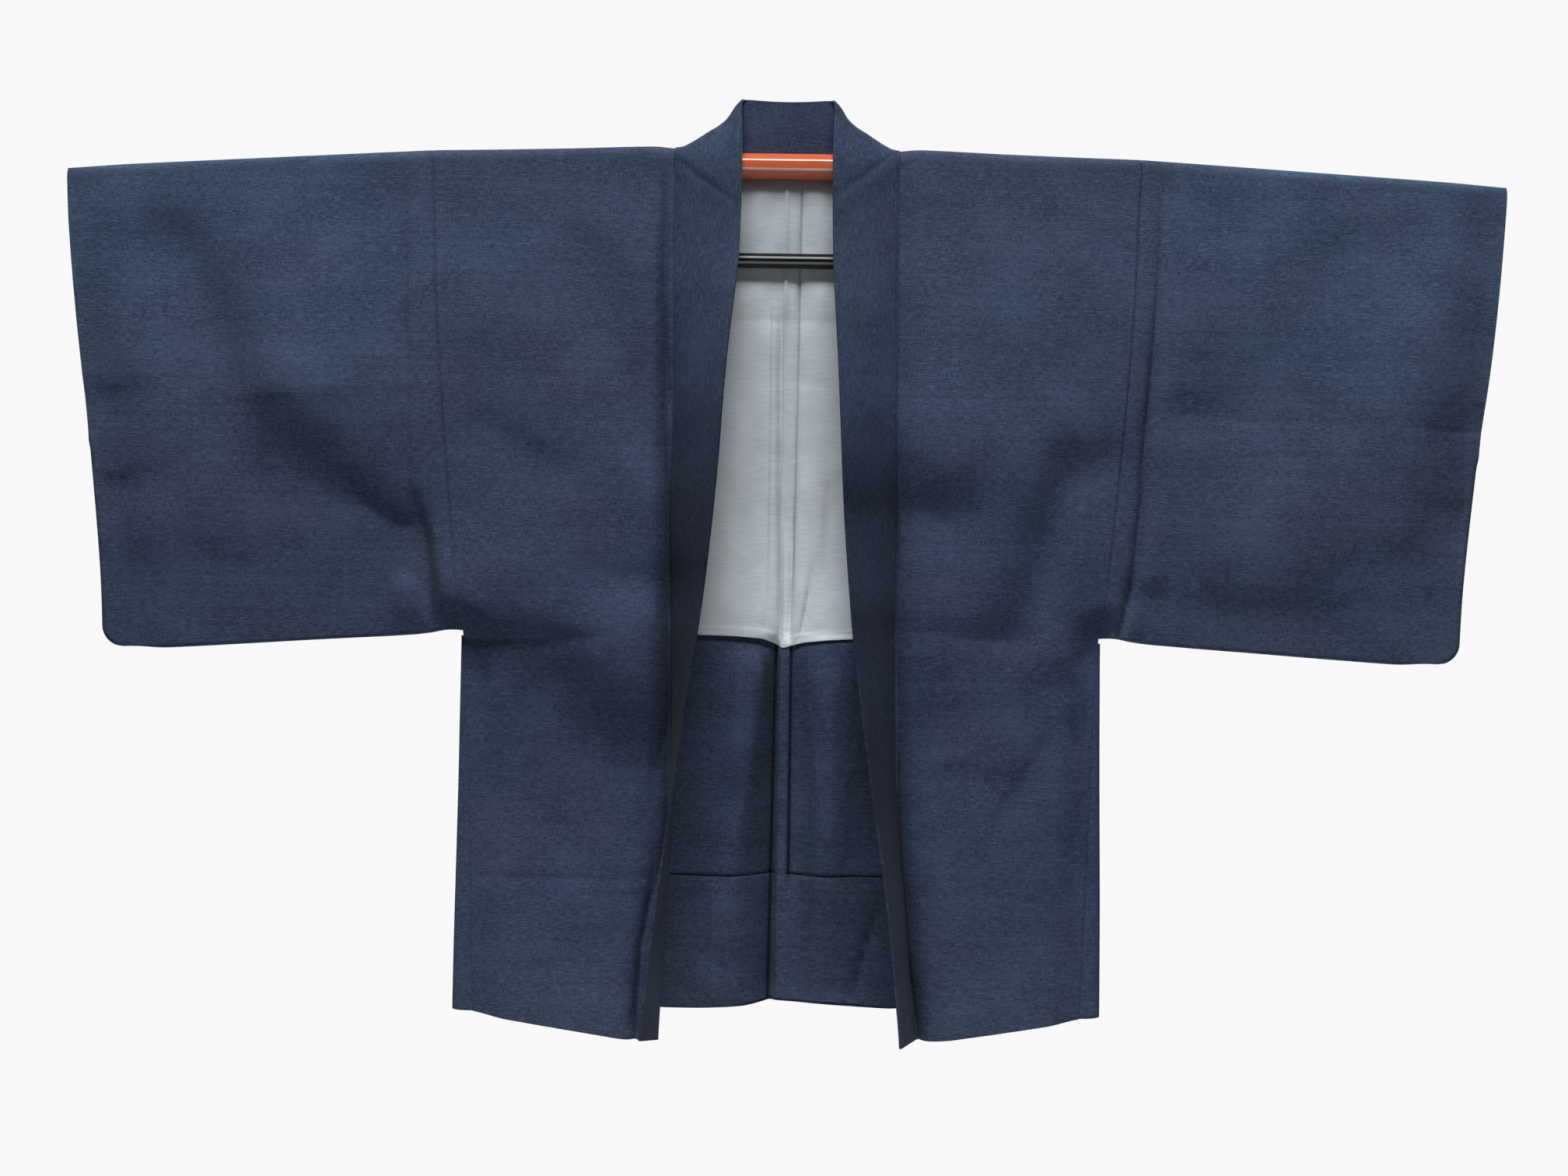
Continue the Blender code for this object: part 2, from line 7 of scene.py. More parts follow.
import math
from collections import namedtuple

import bmesh
import bpy
import numpy as np
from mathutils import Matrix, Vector, noise


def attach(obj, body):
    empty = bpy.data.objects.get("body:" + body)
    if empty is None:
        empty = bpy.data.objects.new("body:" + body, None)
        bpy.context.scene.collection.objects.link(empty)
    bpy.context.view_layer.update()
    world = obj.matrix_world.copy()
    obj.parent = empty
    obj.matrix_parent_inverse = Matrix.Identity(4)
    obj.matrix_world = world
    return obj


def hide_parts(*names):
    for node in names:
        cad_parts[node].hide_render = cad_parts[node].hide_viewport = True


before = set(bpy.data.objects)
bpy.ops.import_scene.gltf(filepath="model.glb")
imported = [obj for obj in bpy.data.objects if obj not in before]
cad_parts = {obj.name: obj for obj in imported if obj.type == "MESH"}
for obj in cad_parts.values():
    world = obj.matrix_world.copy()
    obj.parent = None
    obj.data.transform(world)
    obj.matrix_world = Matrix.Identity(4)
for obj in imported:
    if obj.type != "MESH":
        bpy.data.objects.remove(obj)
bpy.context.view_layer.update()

# Walls, and how far the edges lap at every seam.
SEAM_LAP = 0.0002
SAME_PLACE = 0.00005
LAYER_GAP = 0.0003
CLOTH = 0.0012
LINING = 0.0010
COLLAR = 0.0024
EDGE_ROUNDING = 0.42  # as a share of the thickness

# The hanger: an eight-sided upper bar whose arms droop, and a straight rail for a belt under it.
BAR_HEIGHT = 0.0240
BAR_DEPTH = 0.0210
BAR_FACE = 0.0088
BAR_RIDGE = 0.0040
RAIL_HEIGHT = 0.0140
RAIL_DEPTH = 0.0110
RAIL_FACE = 0.0046
RAIL_RIDGE = 0.0030
RAIL_TOP = -0.0945
RAIL_HALF = 0.215
Bend = namedtuple("Bend", "x z")


def rows(kind, *values):
    """A table of rows of one kind."""
    return [kind(*row) for row in values]


def bends(*points):
    """The bends of a line, given in millimetres."""
    return [Bend(x / 1000, z / 1000) for x, z in points]


ARM_BENDS = bends((180, 0), (330, -3.2), (612, -19.8))

# The body, as distances from the centre and shares of the drop from the shoulder to the hem.
NECK_HALF = 0.105
ARMHOLE_TOP = 0.335
ARMHOLE_STRAIGHT = 0.019
ARMHOLE_CURVED = 0.0145
SIDE_TOP = 0.302
SIDE_HEM = 0.306
GUSSET_TOP = 0.0015
GUSSET_HEM = 0.0195
HEM_SIDE = -0.812
HEM_SLANT_FROM = 0.130
HEM_FRONT = -0.8385
HEM_BACK = -0.8125
HEM_LIFT = bends((-105, -0.3), (-75, -0.3), (-58, 0.4), (-31, 1.4), (-15, 4.1), (-4, 6.2), (16, 5.4),
                 (46, 3.7), (75, 2.1), (105, 1))
HEM_ROUNDING = 0.004

# The depth of the hollow: the front and back hang either side of the bar and come together at the armpit.
FRONT_Y = -0.0127
BACK_Y = 0.0127
CREST = 0.0108
ARMPIT_HALF = 0.0045
ARMHOLE_OPEN = 0.06  # the share of the drop down to which the armhole is as open as the shoulder
HEM_HALF = 0.0100
PINCH_FROM = 0.190
MID_SHOULDER = 0.2
MID_SLEEVE = 0.5
SHOULDER = bends((0, 2.6), (107, 2.6), (122, 4.4), (150, 3.6), (200, 1.5), (262, -0.4), (335, -2.2),
                 (411, -6.6), (500, -11.9), (590, -17.2), (625, -19.4), (684, -23.6))
SHOULDER_ROUNDING = 0.006

# Sleeves: the outer edge down the sleeve, the lower edge along it, and how open the layers hang.
Edge = namedtuple("Edge", "down x")
SLEEVE_EDGE = rows(Edge, (0, 0.6814), (0.1, 0.679), (0.225, 0.6746), (0.335, 0.6696), (0.52, 0.6596),
                   (0.735, 0.6496), (0.86, 0.6446), (1, 0.642))
SLEEVE_HEM = bends((300, -452.5), (330, -455.5), (350, -457), (400, -460.6), (450, -463.8), (500, -467.3),
                   (550, -470.5), (600, -473.6), (645, -475.5))
Open = namedtuple("Open", "down half")
SLEEVE_OPEN = rows(Open, (0, 0.0127), (0.07, 0.0127), (0.3, 0.0095), (0.6, 0.0078), (0.88, 0.0055),
                   (1, 0.0032))
CUFF_HALF = 0.0050
CUFF_DROP = 0.56
SLEEVE_CORNER = 0.0195
SLEEVE_ROUND = 0.0030
SLEEVE_DROP = 0.46
ARMPIT = 0.5585
GUSSET_START = 0.566
NECK_DROP = 0.0132
NECK_SAG = 0.0017

# Where something sets in along the cloth, as shares or in metres: its start, and the length that it takes.
Ramp = namedtuple("Ramp", "start length")
SEAM_CURLS = Ramp(0.15, 0.35)  # down the collar's seam
CENTRE_FOLD_GROWS = Ramp(0.45, 0.6)  # down the centre of the back
WALLS_CLOSE = Ramp(0.40, 0.13)  # down the body: front and back are closest at the armpit
WALLS_PART = Ramp(0.64, 0.16)
WALLS_PARTED = 0.6
BAND_LIFTS = Ramp(0.8, 0.2)  # down the collar
BAND_ROLLS = Ramp(0.09, 0.01)  # out from the centre
CORNER_CUT = Ramp(0.80, 0.20)  # across the sleeve from the armhole
CUFF_FLATTENS = Ramp(0.84, 0.16)
CUFF_ENDS = Ramp(CUFF_DROP, 0.03)  # down the sleeve
SEWN_EDGE = Ramp(0.982, 0.018)
EDGE_SHUTS = Ramp(0.97, 0.03)
BOTTOM_CALMS = Ramp(0.88, 0.12)
BOTTOM_CALM = 0.7
CALM_STARTS = Ramp(0, 0.1)
BOTTOM_STARTS = Ramp(0, 0.12)
SLEEVE_FLATTENS = Ramp(0, 0.3)
ROUND_STARTS = Ramp(0, 0.15)
ROUND_LEAST = 0.3
ROUND_ENDS = 0.2
SLEEVE_FREE = Ramp(SIDE_TOP, 0.03)  # out from the armhole
LINING_LOOSENS = Ramp(0.04, 0.1)  # down from the bar

Crest = namedtuple("Crest", "x z height")
Fold = namedtuple("Fold", "upper lower line")


def fold(upper, lower, *line):
    """A fold in millimetres, along a line of points, each an x, a z and the fold's height there.

    Above 0 the cloth stands out, and below 0 it goes in. The fold fades out over the first distance on the
    upper side of its line, and over the second on the lower side.
    """
    crests = [Crest(x / 1000, z / 1000, height / 1000) for x, z, height in line]
    return Fold(upper / 1000, lower / 1000, crests)


# The collar: one straight band, flat on the chest at the neck and turned further outward towards the hem.
BAND = 0.0625
BAND_LIFT = {"right": 0.0116, "left": 0.0040}
Roll = namedtuple("Roll", "share seam turn")
ROLL = {
    "right": rows(Roll, (0, 0.105, 0), (0.06, 0.105, 4), (0.113, 0.105, 15), (0.15, 0.1048, 24),
                  (0.215, 0.1044, 35), (0.265, 0.104, 41), (0.36, 0.1036, 48), (0.44, 0.103, 56),
                  (0.55, 0.1016, 69), (0.7, 0.1004, 87), (0.83, 0.1056, 97), (1, 0.1138, 102)),
    "left": rows(Roll, (0, 0.105, 0), (0.06, 0.1052, 2), (0.113, 0.1055, 9), (0.15, 0.1058, 16),
                 (0.215, 0.1062, 24), (0.265, 0.1065, 28), (0.36, 0.107, 34), (0.44, 0.1072, 41),
                 (0.55, 0.1075, 51), (0.7, 0.11, 67), (0.83, 0.1195, 74), (1, 0.134, 74)),
}
ROLL_ROUNDING = 0.03
SEAM_BACK = 0.0105
SEAM_CURL = 0.0085
Fan = namedtuple("Fan", "round x y z sag")
FAN = rows(Fan, (180, 0.0432, -0.015, -0.056, 0), (150, 0.0428, -0.0156, -0.033, 0),
           (125, 0.0427, -0.015, -0.006, 0.0015), (105, 0.0431, -0.006, 0.023, 0.005),
           (85, 0.0442, 0.005, 0.05, 0.009), (65, 0.045, 0.0104, 0.0546, 0.0094),
           (45, 0.0446, 0.014, 0.0543, 0.007), (20, 0.0415, 0.0148, 0.0541, 0.0026),
           (0, 0.037, 0.015, 0.0541, 0))
Sag = namedtuple("Sag", "share depth")
SAG = rows(Sag, (0, 0), (0.08, 0.33), (0.25, 0.45), (0.41, 0.56), (0.49, 0.64), (0.57, 0.84), (0.66, 1),
           (0.74, 0.84), (0.82, 0.46), (0.9, 0.14), (1, 0))
COLLAR_CREASES = {
    "right": [fold(5, 4, (50, -49, -1.2), (70, -35, -2.2), (95, -16, -2), (104, -9, -0.6)),
              fold(9, 9, (52, -40, 0), (75, -23, 1.6), (100, -5, 1)),
              fold(6, 6, (60, -203, -0.4), (104, -208, -0.6))],
    "left": [fold(5, 4, (48, -41, -1.2), (70, -24, -2.2), (92, -8, -1.8), (100, -2, -0.6)),
             fold(9, 9, (50, -31, 0), (75, -12, 1.6), (95, 2, 0.8)),
             fold(6, 6, (60, -210, -0.3), (104, -216, -0.5))],
}
COLLAR_LAP = 0.0010
COLLAR_ON = 0.0011
NECK_LAP = 0.0028
NECK_CORNER = 50  # degrees round the bar where the lap sets in
COLLAR_TURNS = 0.04  # the share of the drop where the band turns over the bar
BACK_CLEAR = 0.0040
BACK_SOFT = 0.0012
OVERLAP = {"right": 0.0030, "left": 0.0}  # how much further it lies over the front where it turns
OVERLAP_START = 0.28
OVERLAP_END = 0.80
OVERLAP_FADE = 0.10
SLANT = 0.050
SLANT_FADES = 0.100
NECK_MIDDLE = 0.02  # nearer the centre than this the band has no creases
FRONT_TO = 0.004
CHEST_FROM = -0.10

# The folds and hollows of the front and back on each side.
FOLDS = {}
FOLDS["right", "front"] = [
    # The sleeve: the long diagonal hollow, the crease over it, and the dark gap at the armpit.
    fold(46, 100, (345, -412, -4), (362, -402, -15), (385, -382, -18), (420, -352, -17), (470, -306, -17),
         (515, -254, -17), (532, -212, -14), (554, -160, -12.5), (577, -100, -9), (600, -35, 0)),
    fold(14, 30, (342, -376, -4), (360, -370, -13), (385, -354, -12), (412, -325, -3), (430, -305, 0)),
    fold(40, 60, (330, -234, 3), (380, -232, 5), (430, -232, 9.5), (475, -234, 12.5), (505, -237, 8),
         (530, -239, 0)),
    fold(26, 50, (515, -245, -3), (535, -205, -8), (556, -150, -11), (578, -100, -9), (600, -40, 0)),
    fold(13, 20, (346, -470, 4), (355, -430, 9), (362, -400, 7), (372, -370, 0)),
    fold(10, 10, (308, -460, 3), (317, -415, 6), (326, -370, 5), (332, -335, 0)),
    fold(60, 50, (520, -320, 0), (570, -260, 4), (612, -190, 6), (632, -110, 6), (645, -60, 3),
         (650, -30, 0)),
    fold(22, 22, (552, -450, -2), (560, -390, -4.5), (576, -320, -5), (596, -260, 0)),
    fold(14, 30, (570, -234, 0), (600, -240, -2), (665, -245, -3)),
    fold(14, 22, (570, -320, 0), (610, -326, -2.2), (660, -330, -3.8)),
    fold(50, 40, (385, -430, -3), (410, -434, -11), (450, -438, -14), (490, -436, -13), (550, -430, -14),
         (620, -426, -8)),
    # The front: beside the collar, at the armpit, and the two hollows either side of the middle crease.
    fold(9, 12, (127, -45, 1), (126, -100, 3), (123, -250, 4), (120, -420, 4), (119, -600, 3),
         (119, -700, 0)),
    fold(40, 26, (112, -305, -5), (130, -280, -10), (148, -230, -13), (170, -160, -10), (186, -110, -5),
         (195, -70, 0)),
    fold(18, 40, (185, -322, 0), (215, -304, -4), (250, -282, -4.5), (285, -262, -3), (318, -252, 0)),
    fold(10, 16, (278, -354, 0), (292, -346, -2.2), (310, -338, -1)),
    fold(55, 34, (180, -415, 0), (215, -418, 5), (250, -420, 10), (280, -422, 12), (318, -424, 10.5)),
    fold(16, 60, (130, -462, 0), (160, -465, -3.5), (200, -468, -6), (240, -470, -7.5), (302, -470, -6)),
    fold(40, 40, (140, -432, 0), (180, -440, 3.5), (230, -446, 2), (250, -448, 0)),
    fold(16, 40, (108, -408, -3), (150, -406, -4), (190, -400, -3), (215, -396, 0)),
    fold(20, 60, (180, -500, 0), (220, -506, -3), (302, -506, -3.4)),
    fold(35, 80, (105, -452, 9), (140, -462, 13), (175, -476, 11), (205, -495, 3), (220, -508, 0)),
    fold(70, 120, (100, -618, -17), (140, -608, -26), (175, -592, -32), (205, -566, -27), (235, -534, -14),
         (265, -508, 0)),
    fold(8, 20, (235, -613, 0), (255, -607, -2.2), (285, -603, -2.4), (302, -602, -1.6)),
    fold(10, 22, (250, -676, 0), (280, -666, -2.4), (302, -660, -2.6)),
    fold(30, 50, (120, -735, 0), (160, -742, -2.4), (210, -738, -2.4), (260, -748, 0))]
FOLDS["left", "front"] = [
    # The sleeve: a hollow from the top, the swell under it, the bottom, and the pull along the armhole.
    fold(45, 70, (400, -252, -3), (435, -235, -5), (465, -200, -6), (500, -145, -7), (545, -85, -5),
         (580, -40, 0)),
    fold(50, 50, (400, -425, 0), (430, -400, 4), (480, -352, 6), (540, -295, 6), (590, -235, 5),
         (625, -160, 4), (640, -90, 0)),
    fold(22, 40, (332, -247, 0), (345, -247, -2), (370, -246, -3.2), (410, -247, -2.6), (450, -250, 0)),
    fold(35, 24, (585, -254, 0), (615, -256, -2), (660, -256, -3.2)),
    fold(24, 34, (370, -436, 0), (420, -436, -3), (480, -438, -4.2), (540, -440, -3.4), (590, -440, -1.4),
         (640, -444, 0)),
    fold(12, 14, (330, -470, 0), (340, -430, 3), (348, -380, 3.5), (354, -300, 3), (360, -220, 2.4),
         (366, -150, 0)),
    fold(14, 22, (322, -418, 0), (335, -416, -5), (352, -417, -4.5), (366, -410, 0)),
    fold(14, 28, (590, -330, 0), (620, -334, -2.4), (655, -334, -3)),
    fold(30, 50, (470, -395, 0), (540, -388, -3.4), (600, -386, -3.6), (650, -390, -2)),
    # The front: beside the collar, the bent hollow from the armhole, and the creased cloth under it.
    fold(8, 12, (262, -48, 0), (285, -65, -1.4), (305, -83, -1.4), (318, -92, 0)),
    fold(50, 46, (100, -262, 6), (130, -268, 10), (165, -270, 9.5), (200, -265, 4), (215, -260, 0)),
    fold(30, 70, (103, -352, -8), (130, -350, -12.5), (155, -348, -11), (180, -346, -8), (205, -344, 0)),
    fold(30, 20, (224, -480, 0), (236, -445, -8), (244, -405, -14), (251, -365, -15), (262, -322, -11),
         (276, -298, -6), (290, -288, 0)),
    fold(26, 40, (255, -302, 0), (275, -292, -5), (300, -288, -6), (325, -286, -4), (335, -286, 0)),
    fold(40, 40, (200, -450, 0), (209, -390, 4.5), (222, -330, 5), (244, -275, 4.5), (280, -246, 3.5),
         (330, -236, 0)),
    fold(14, 16, (248, -428, 0), (265, -440, -3.5), (283, -450, -3.5), (298, -460, 0)),
    fold(20, 45, (105, -458, -3), (165, -460, -3.6), (190, -462, -6.5), (215, -463, -5), (245, -462, 0)),
    fold(55, 110, (105, -552, -9), (160, -545, -11), (220, -536, -6), (260, -525, -4), (302, -515, -4)),
    fold(16, 14, (240, -502, 0), (262, -500, -4.5), (284, -500, 0)),
    fold(14, 14, (270, -476, 0), (290, -474, -4.5), (303, -474, -4)),
    fold(10, 20, (195, -655, 0), (215, -618, -3.5), (235, -585, -4), (250, -555, -3.5), (262, -530, 0)),
    fold(14, 24, (120, -600, 0), (150, -594, -2.6), (185, -580, -2.6), (205, -568, 0)),
    fold(26, 40, (130, -678, 0), (180, -672, -2.6), (230, -676, -2), (280, -672, 0)),
    fold(30, 50, (130, -752, 0), (190, -742, -2), (260, -748, -2.4), (302, -740, 0))]
FOLDS["right", "back"] = [
    fold(34, 70, (345, -400, -3), (380, -360, -9), (450, -290, -9), (510, -220, -8), (560, -120, -5),
         (590, -50, 0)),
    fold(60, 60, (335, -290, 3), (400, -262, 6), (470, -222, 6), (520, -200, 0)),
    fold(7, 9, (318, -462, -6), (332, -400, -7), (342, -330, -5), (350, -240, -3), (354, -150, 0)),
    fold(55, 36, (170, -412, 0), (230, -420, 6), (280, -424, 10.5), (318, -426, 9)),
    fold(22, 60, (110, -462, 0), (180, -467, -5), (240, -470, -6.5), (302, -470, -5)),
    fold(70, 50, (110, -640, 0), (140, -618, -6), (190, -580, -9), (240, -545, -7), (302, -515, -4)),
    fold(40, 40, (110, -285, 0), (160, -268, -6), (240, -240, -6), (310, -215, 0)),
    fold(30, 40, (440, -415, 0), (520, -408, -4), (600, -400, -3), (650, -390, 0))]
FOLDS["left", "back"] = [
    fold(45, 60, (380, -345, 0), (430, -270, -7), (490, -180, -8), (550, -90, -5), (580, -40, 0)),
    fold(60, 50, (390, -425, 0), (430, -395, 5), (500, -335, 6.5), (570, -265, 6), (620, -190, 0)),
    fold(6, 8, (317, -462, -6), (331, -390, -7.5), (340, -280, -7), (347, -170, -5), (352, -70, 0)),
    fold(34, 28, (220, -470, 0), (238, -410, -8), (256, -350, -10), (280, -300, -7), (310, -268, 0)),
    fold(55, 60, (110, -575, 0), (150, -552, -6), (210, -536, -7), (302, -518, -4)),
    fold(20, 45, (110, -460, 0), (160, -461, -4.5), (220, -463, -4.5), (285, -462, 0)),
    fold(30, 50, (440, -440, 0), (520, -436, -4.5), (600, -430, -3.5), (640, -420, 0))]
FOLD_OUT = 0.0200  # where folds meet, the cloth moves no further than this
FOLD_IN = 0.0280
SLACK = 0.0115  # how far the loose cloth stands off between the seams
SLACK_SIDES = 0.035
SLACK_CUFF = 0.075
SLACK_TOP = 0.160
SLACK_BOTTOM = 0.130
LEAST_HALF = 0.0016  # and the front and back keep this far from the middle
FOLD_CLEAR = 0.020  # the cloth lies clear of folds this far below the bar
FOLD_START = 0.070
LINE_ROUNDING = 0.016
LINE_ENDS = 0.018
LINE_STEP = 0.014
CENTRE_FOLD = 0.008
CENTRE_FOLD_HALF = 0.032
CENTRE_FOLD_EASE = 1.3
# Folds of the back and its lining as they show inside, with x running from the right side to the left.
INSIDE_FOLDS = [
    fold(60, 120, (-80, -450, 5), (0, -452, 7), (80, -455, 10)),
    fold(40, 16, (-52, -800, 6), (-46, -690, 11), (-34, -580, 15), (-22, -480, 12)),
    fold(14, 10, (-9, -800, -8), (-9, -690, -9), (-8, -560, -9), (-6, -470, -6)),
    fold(10, 12, (22, -790, -3), (21, -690, -5), (20, -560, -6), (18, -480, -3)),
    fold(18, 18, (44, -780, 5), (46, -640, 9), (46, -500, 7)),
    fold(45, 45, (60, -470, 10), (60, -640, 3), (60, -800, -7)),
    fold(10, 4.5, (-3, -130, -1), (-3, -200, -5.5), (-1, -320, -8), (2, -450, -9)),
    fold(16, 16, (-55, -440, 1), (-48, -330, 3), (-40, -220, 0)),
]
INSIDE_CREASES = [
    fold(4, 3, (-7, -805, -8), (-6, -690, -9), (-6, -560, -9), (-4, -470, -8)),
    fold(2.2, 3, (10.5, -690, -8), (11, -560, -8), (11, -470, -6)),
    fold(4, 5, (74, -796, -7), (84, -760, -7), (99, -704, -3)),
    fold(2, 2.4, (8, -450, -7), (11.5, -320, -6.4), (12, -200, -4.4), (13.5, -60, -2.6), (14, -35, -1.4)),
    fold(2, 5, (41, -398, 0), (43, -345, -4.6), (43.5, -299, 0)),
    fold(2, 5, (18, -458, -5), (25, -420, -5), (31, -381, 0)),
    fold(4, 4, (-70, -157, -0.6), (70, -159, -0.8)),
    fold(1, 5, (-120, -684.8, -2.2), (120, -684.5, -2.2)),
]
LINING_EDGE = bends((-105, -457), (-77, -457), (-40, -458), (-17, -460), (-6, -464), (2, -469),
                    (10, -466.2), (22, -463), (45, -460.5), (70, -459), (105, -458))
HEM_LINE = -0.6862
LINING_HEM = 0.0090
LINING_SWELL = rows(Open, (0, 0), (0.021, 0), (0.034, 0.009), (0.056, 0.0072), (0.09, 0.004),
                    (0.111, 0.0042), (0.124, 0.006), (0.15, 0.0056), (0.3, 0.0024), (0.44, 0.0006))
LINING_TOP = 0.83  # the lining starts at this share of the neck's drop
LINING_LOOSE = 0.0006
LINING_WAVES = 0.03
SWELL_TO = 0.125
SWELL_FADES = 0.06
SWELL_UNEVEN = 0.16
SWELL_WAVES = 0.016
SWELL_STRETCH = 0.4
HEM_STEP = 0.0005
HEM_STEP_LENGTH = 0.0012
HEM_TUCK = 0.0025
HEM_LOOSE = 0.0004
SEAM_STRIP = (-0.0025, 0.0085)
STRIP_UNDER_HEM = 0.004
STRIP_UNDER_LINING = 0.006
LAYER_SHORT = 0.004  # the layers inside the back end this far from its outer seam

# Creases are sharp along their line: where the jacket was folded away, and where a seam pulls.
CREASES = {}
CREASES["right", "front"] = [
    fold(3.6, 3.6, (115.5, -12, -1), (115.2, -35, -5), (114.5, -90, -9.5), (112.5, -190, -11),
         (108.5, -280, -11), (107, -360, -11), (106.5, -430, -12)),
    fold(5, 5, (106.6, -400, -6), (106.2, -460, -12), (106, -550, -12), (107.2, -620, -10)),
    fold(3.6, 4.2, (108, -630, -8), (111.5, -660, -11), (119.8, -704, -12), (127.5, -749, -12),
         (131.6, -800, -12), (132.8, -838, -12)),
    fold(8.5, 9.5, (327, -462, -13), (331.5, -425, -19), (337.5, -385, -18), (343.5, -345, -12),
         (347.5, -325, 0)),
    fold(12, 6, (200, -216, 0), (338, -224.3, 0.5), (440, -232, 1), (513, -237.5, 1), (535, -239, 0)),
    fold(3.5, 4.5, (355, -230, -2), (357, -180, -5), (358.5, -120, -5.5), (360, -50, -3.5), (359, -18, 0)),
    fold(3.5, 4.5, (351.5, -335, -2), (353, -290, -4), (354, -235, -3)),
    fold(6, 6, (590, -314, 0), (620, -318, -0.8), (656, -322, -1.5)),
    fold(4, 4, (195, -216.5, 0), (215, -215.5, -0.6), (238, -213, -0.6), (246, -213, 0)),
    fold(6, 6, (106, -209, -0.2), (330, -224, -0.3), (335, -224, 0)),
    fold(3.5, 7, (150, -458, 0), (200, -460, -1.6), (302, -464, -2.2)),
    fold(3.5, 10, (118, -685, -1.2), (165, -686, -0.8), (200, -687, -1), (250, -688, -1.8),
         (303, -687, -1.8))]
CREASES["left", "front"] = [
    fold(4, 5, (317, -462, -8), (325, -430, -12), (332, -390, -11), (337, -330, -10), (341, -250, -11),
         (346, -190, -10), (350, -130, -7), (353, -80, -5), (354, -35, -2)),
    fold(12, 6, (328, -243, 0), (340, -243, -0.4), (380, -243, -0.8), (440, -249, -0.9), (516, -252, -0.8),
         (580, -252, -0.6), (620, -256, -1.2), (658, -256, -1.8)),
    fold(2.2, 3, (108.5, -340, -1), (109.5, -430, -5), (112, -580, -8), (113.5, -640, -10),
         (118, -700, -10), (125, -760, -10), (136.5, -835, -8)),
    fold(3, 4, (105, -18, -0.6), (116, -9, -0.9), (127, -2, 0)),
    fold(3, 4, (105, -213, -0.6), (116, -218, -1), (128, -223, 0)),
    fold(6, 4, (104, -335, -0.8), (135, -336, -0.8), (152, -335, 0)),
    fold(8, 4, (108, -452, -0.6), (150, -455, -0.6), (180, -458, -1.4), (205, -459, -1.4),
         (225, -459, -0.4), (303, -460, -0.3)),
    fold(4, 8, (222, -535, 0), (232, -505, -1.2), (243, -482, -1.4), (258, -460, 0)),
    fold(5, 8, (218, -560, 0), (232, -533, -1), (248, -508, -1), (255, -495, 0)),
    fold(4, 6, (150, -590, 0), (165, -581, -0.6), (182, -572, -0.6), (190, -567, 0)),
    fold(6, 4, (165, -668, 0), (190, -666, -0.5), (225, -667, -0.4), (240, -667, 0)),
    fold(5, 4, (150, -697, -0.2), (180, -696, -0.8), (200, -695, -1.2), (212, -695, 0)),
    fold(4, 9, (118, -684, -0.5), (200, -684, -0.4), (262, -686, -0.8), (280, -685, -1.1),
         (303, -684, -1.1))]
CREASES["right", "back"] = [
    fold(10, 5, (0, -216, 0.3), (200, -220, 0.5), (340, -225, 0.6), (520, -238, 0.9), (560, -240, 0)),
    fold(6, 5, (0, -456, -0.4), (180, -460, -0.7), (302, -464, -1.3)),
    fold(9, 4, (0, -682, -0.4), (200, -685, -0.5), (303, -686, -1))]
CREASES["left", "back"] = [
    fold(10, 5, (0, -216, 0.3), (300, -236, 0.5), (420, -248, 1), (580, -252, 0.6), (660, -256, 1.2)),
    fold(6, 5, (0, -456, -0.4), (150, -458, -1.2), (302, -460, -0.6)),
    fold(9, 4, (0, -682, -0.4), (200, -685, -0.7), (303, -684, -0.6))]
CREASE_DROPS = [0.265, 0.555, 0.825]  # the shares of the drop where the finest creases run across the body
BACK_DROPS = [0.265, 0.560, 0.841, 0.841, 0.841]
CREASE_DOWN = 0.500  # and down a sleeve
DRAPE = 0.0011  # how far the cloth wanders from flat
DRAPE_SIZE = 0.085
PUCKER = 0.0003
PUCKER_SIZE = 0.017
WANDER_SEEDS = {("right", "front"): 3.0, ("left", "front"): 11.0,
                ("right", "back"): 43.0, ("left", "back"): 51.0}
FADED = {2: 2.7, 1: 6.0}  # so many fades away, a round fold (2) or sharp crease (1) is too faint to show

SQUARENESS = 0.8
SIGN = {"right": -1, "left": 1}
EDGE_ROLL = 0.0024  # how far an edge turns in to its seam
EDGE_ROLL_LEAST = 0.0009
EDGE_ROLL_WIDTH = 0.0017
BAND_ROLL = 0.0016
BAND_ROLL_SHARE = 0.035
BAND_ROLL_RIGHT = 0.25  # so much of it on the right side

# How finely the sheets are divided.
FRONT_ROWS = 230
CREST_ROWS = 14
BACK_ROWS = 200
NECK_COLUMNS = 40
BODY_COLUMNS = 80
LINING_ROWS = 150
LINING_COLUMNS = 84
HEM_ROWS = 36
SLEEVE_ROWS = 142
SLEEVE_COLUMNS = 112
BOTTOM_ROWS = 6
GUSSET_ROWS = 90
GUSSET_COLUMNS = 12
STRIP_ROWS = 60
STRIP_COLUMNS = 8
COLLAR_ROWS = 700
COLLAR_COLUMNS = 34
COLLAR_SMOOTHING = 5
FRONT_LINES = 120
FAN_LINES = 19
NECK_LINES = 12
CREST_LENGTH = 0.04  # how much cloth lies over the bar
BOTTOM_LENGTH = 0.01  # and round a sleeve's lower edge
CREASE_CROWD = 1.3
CREASE_REACH = 0.014

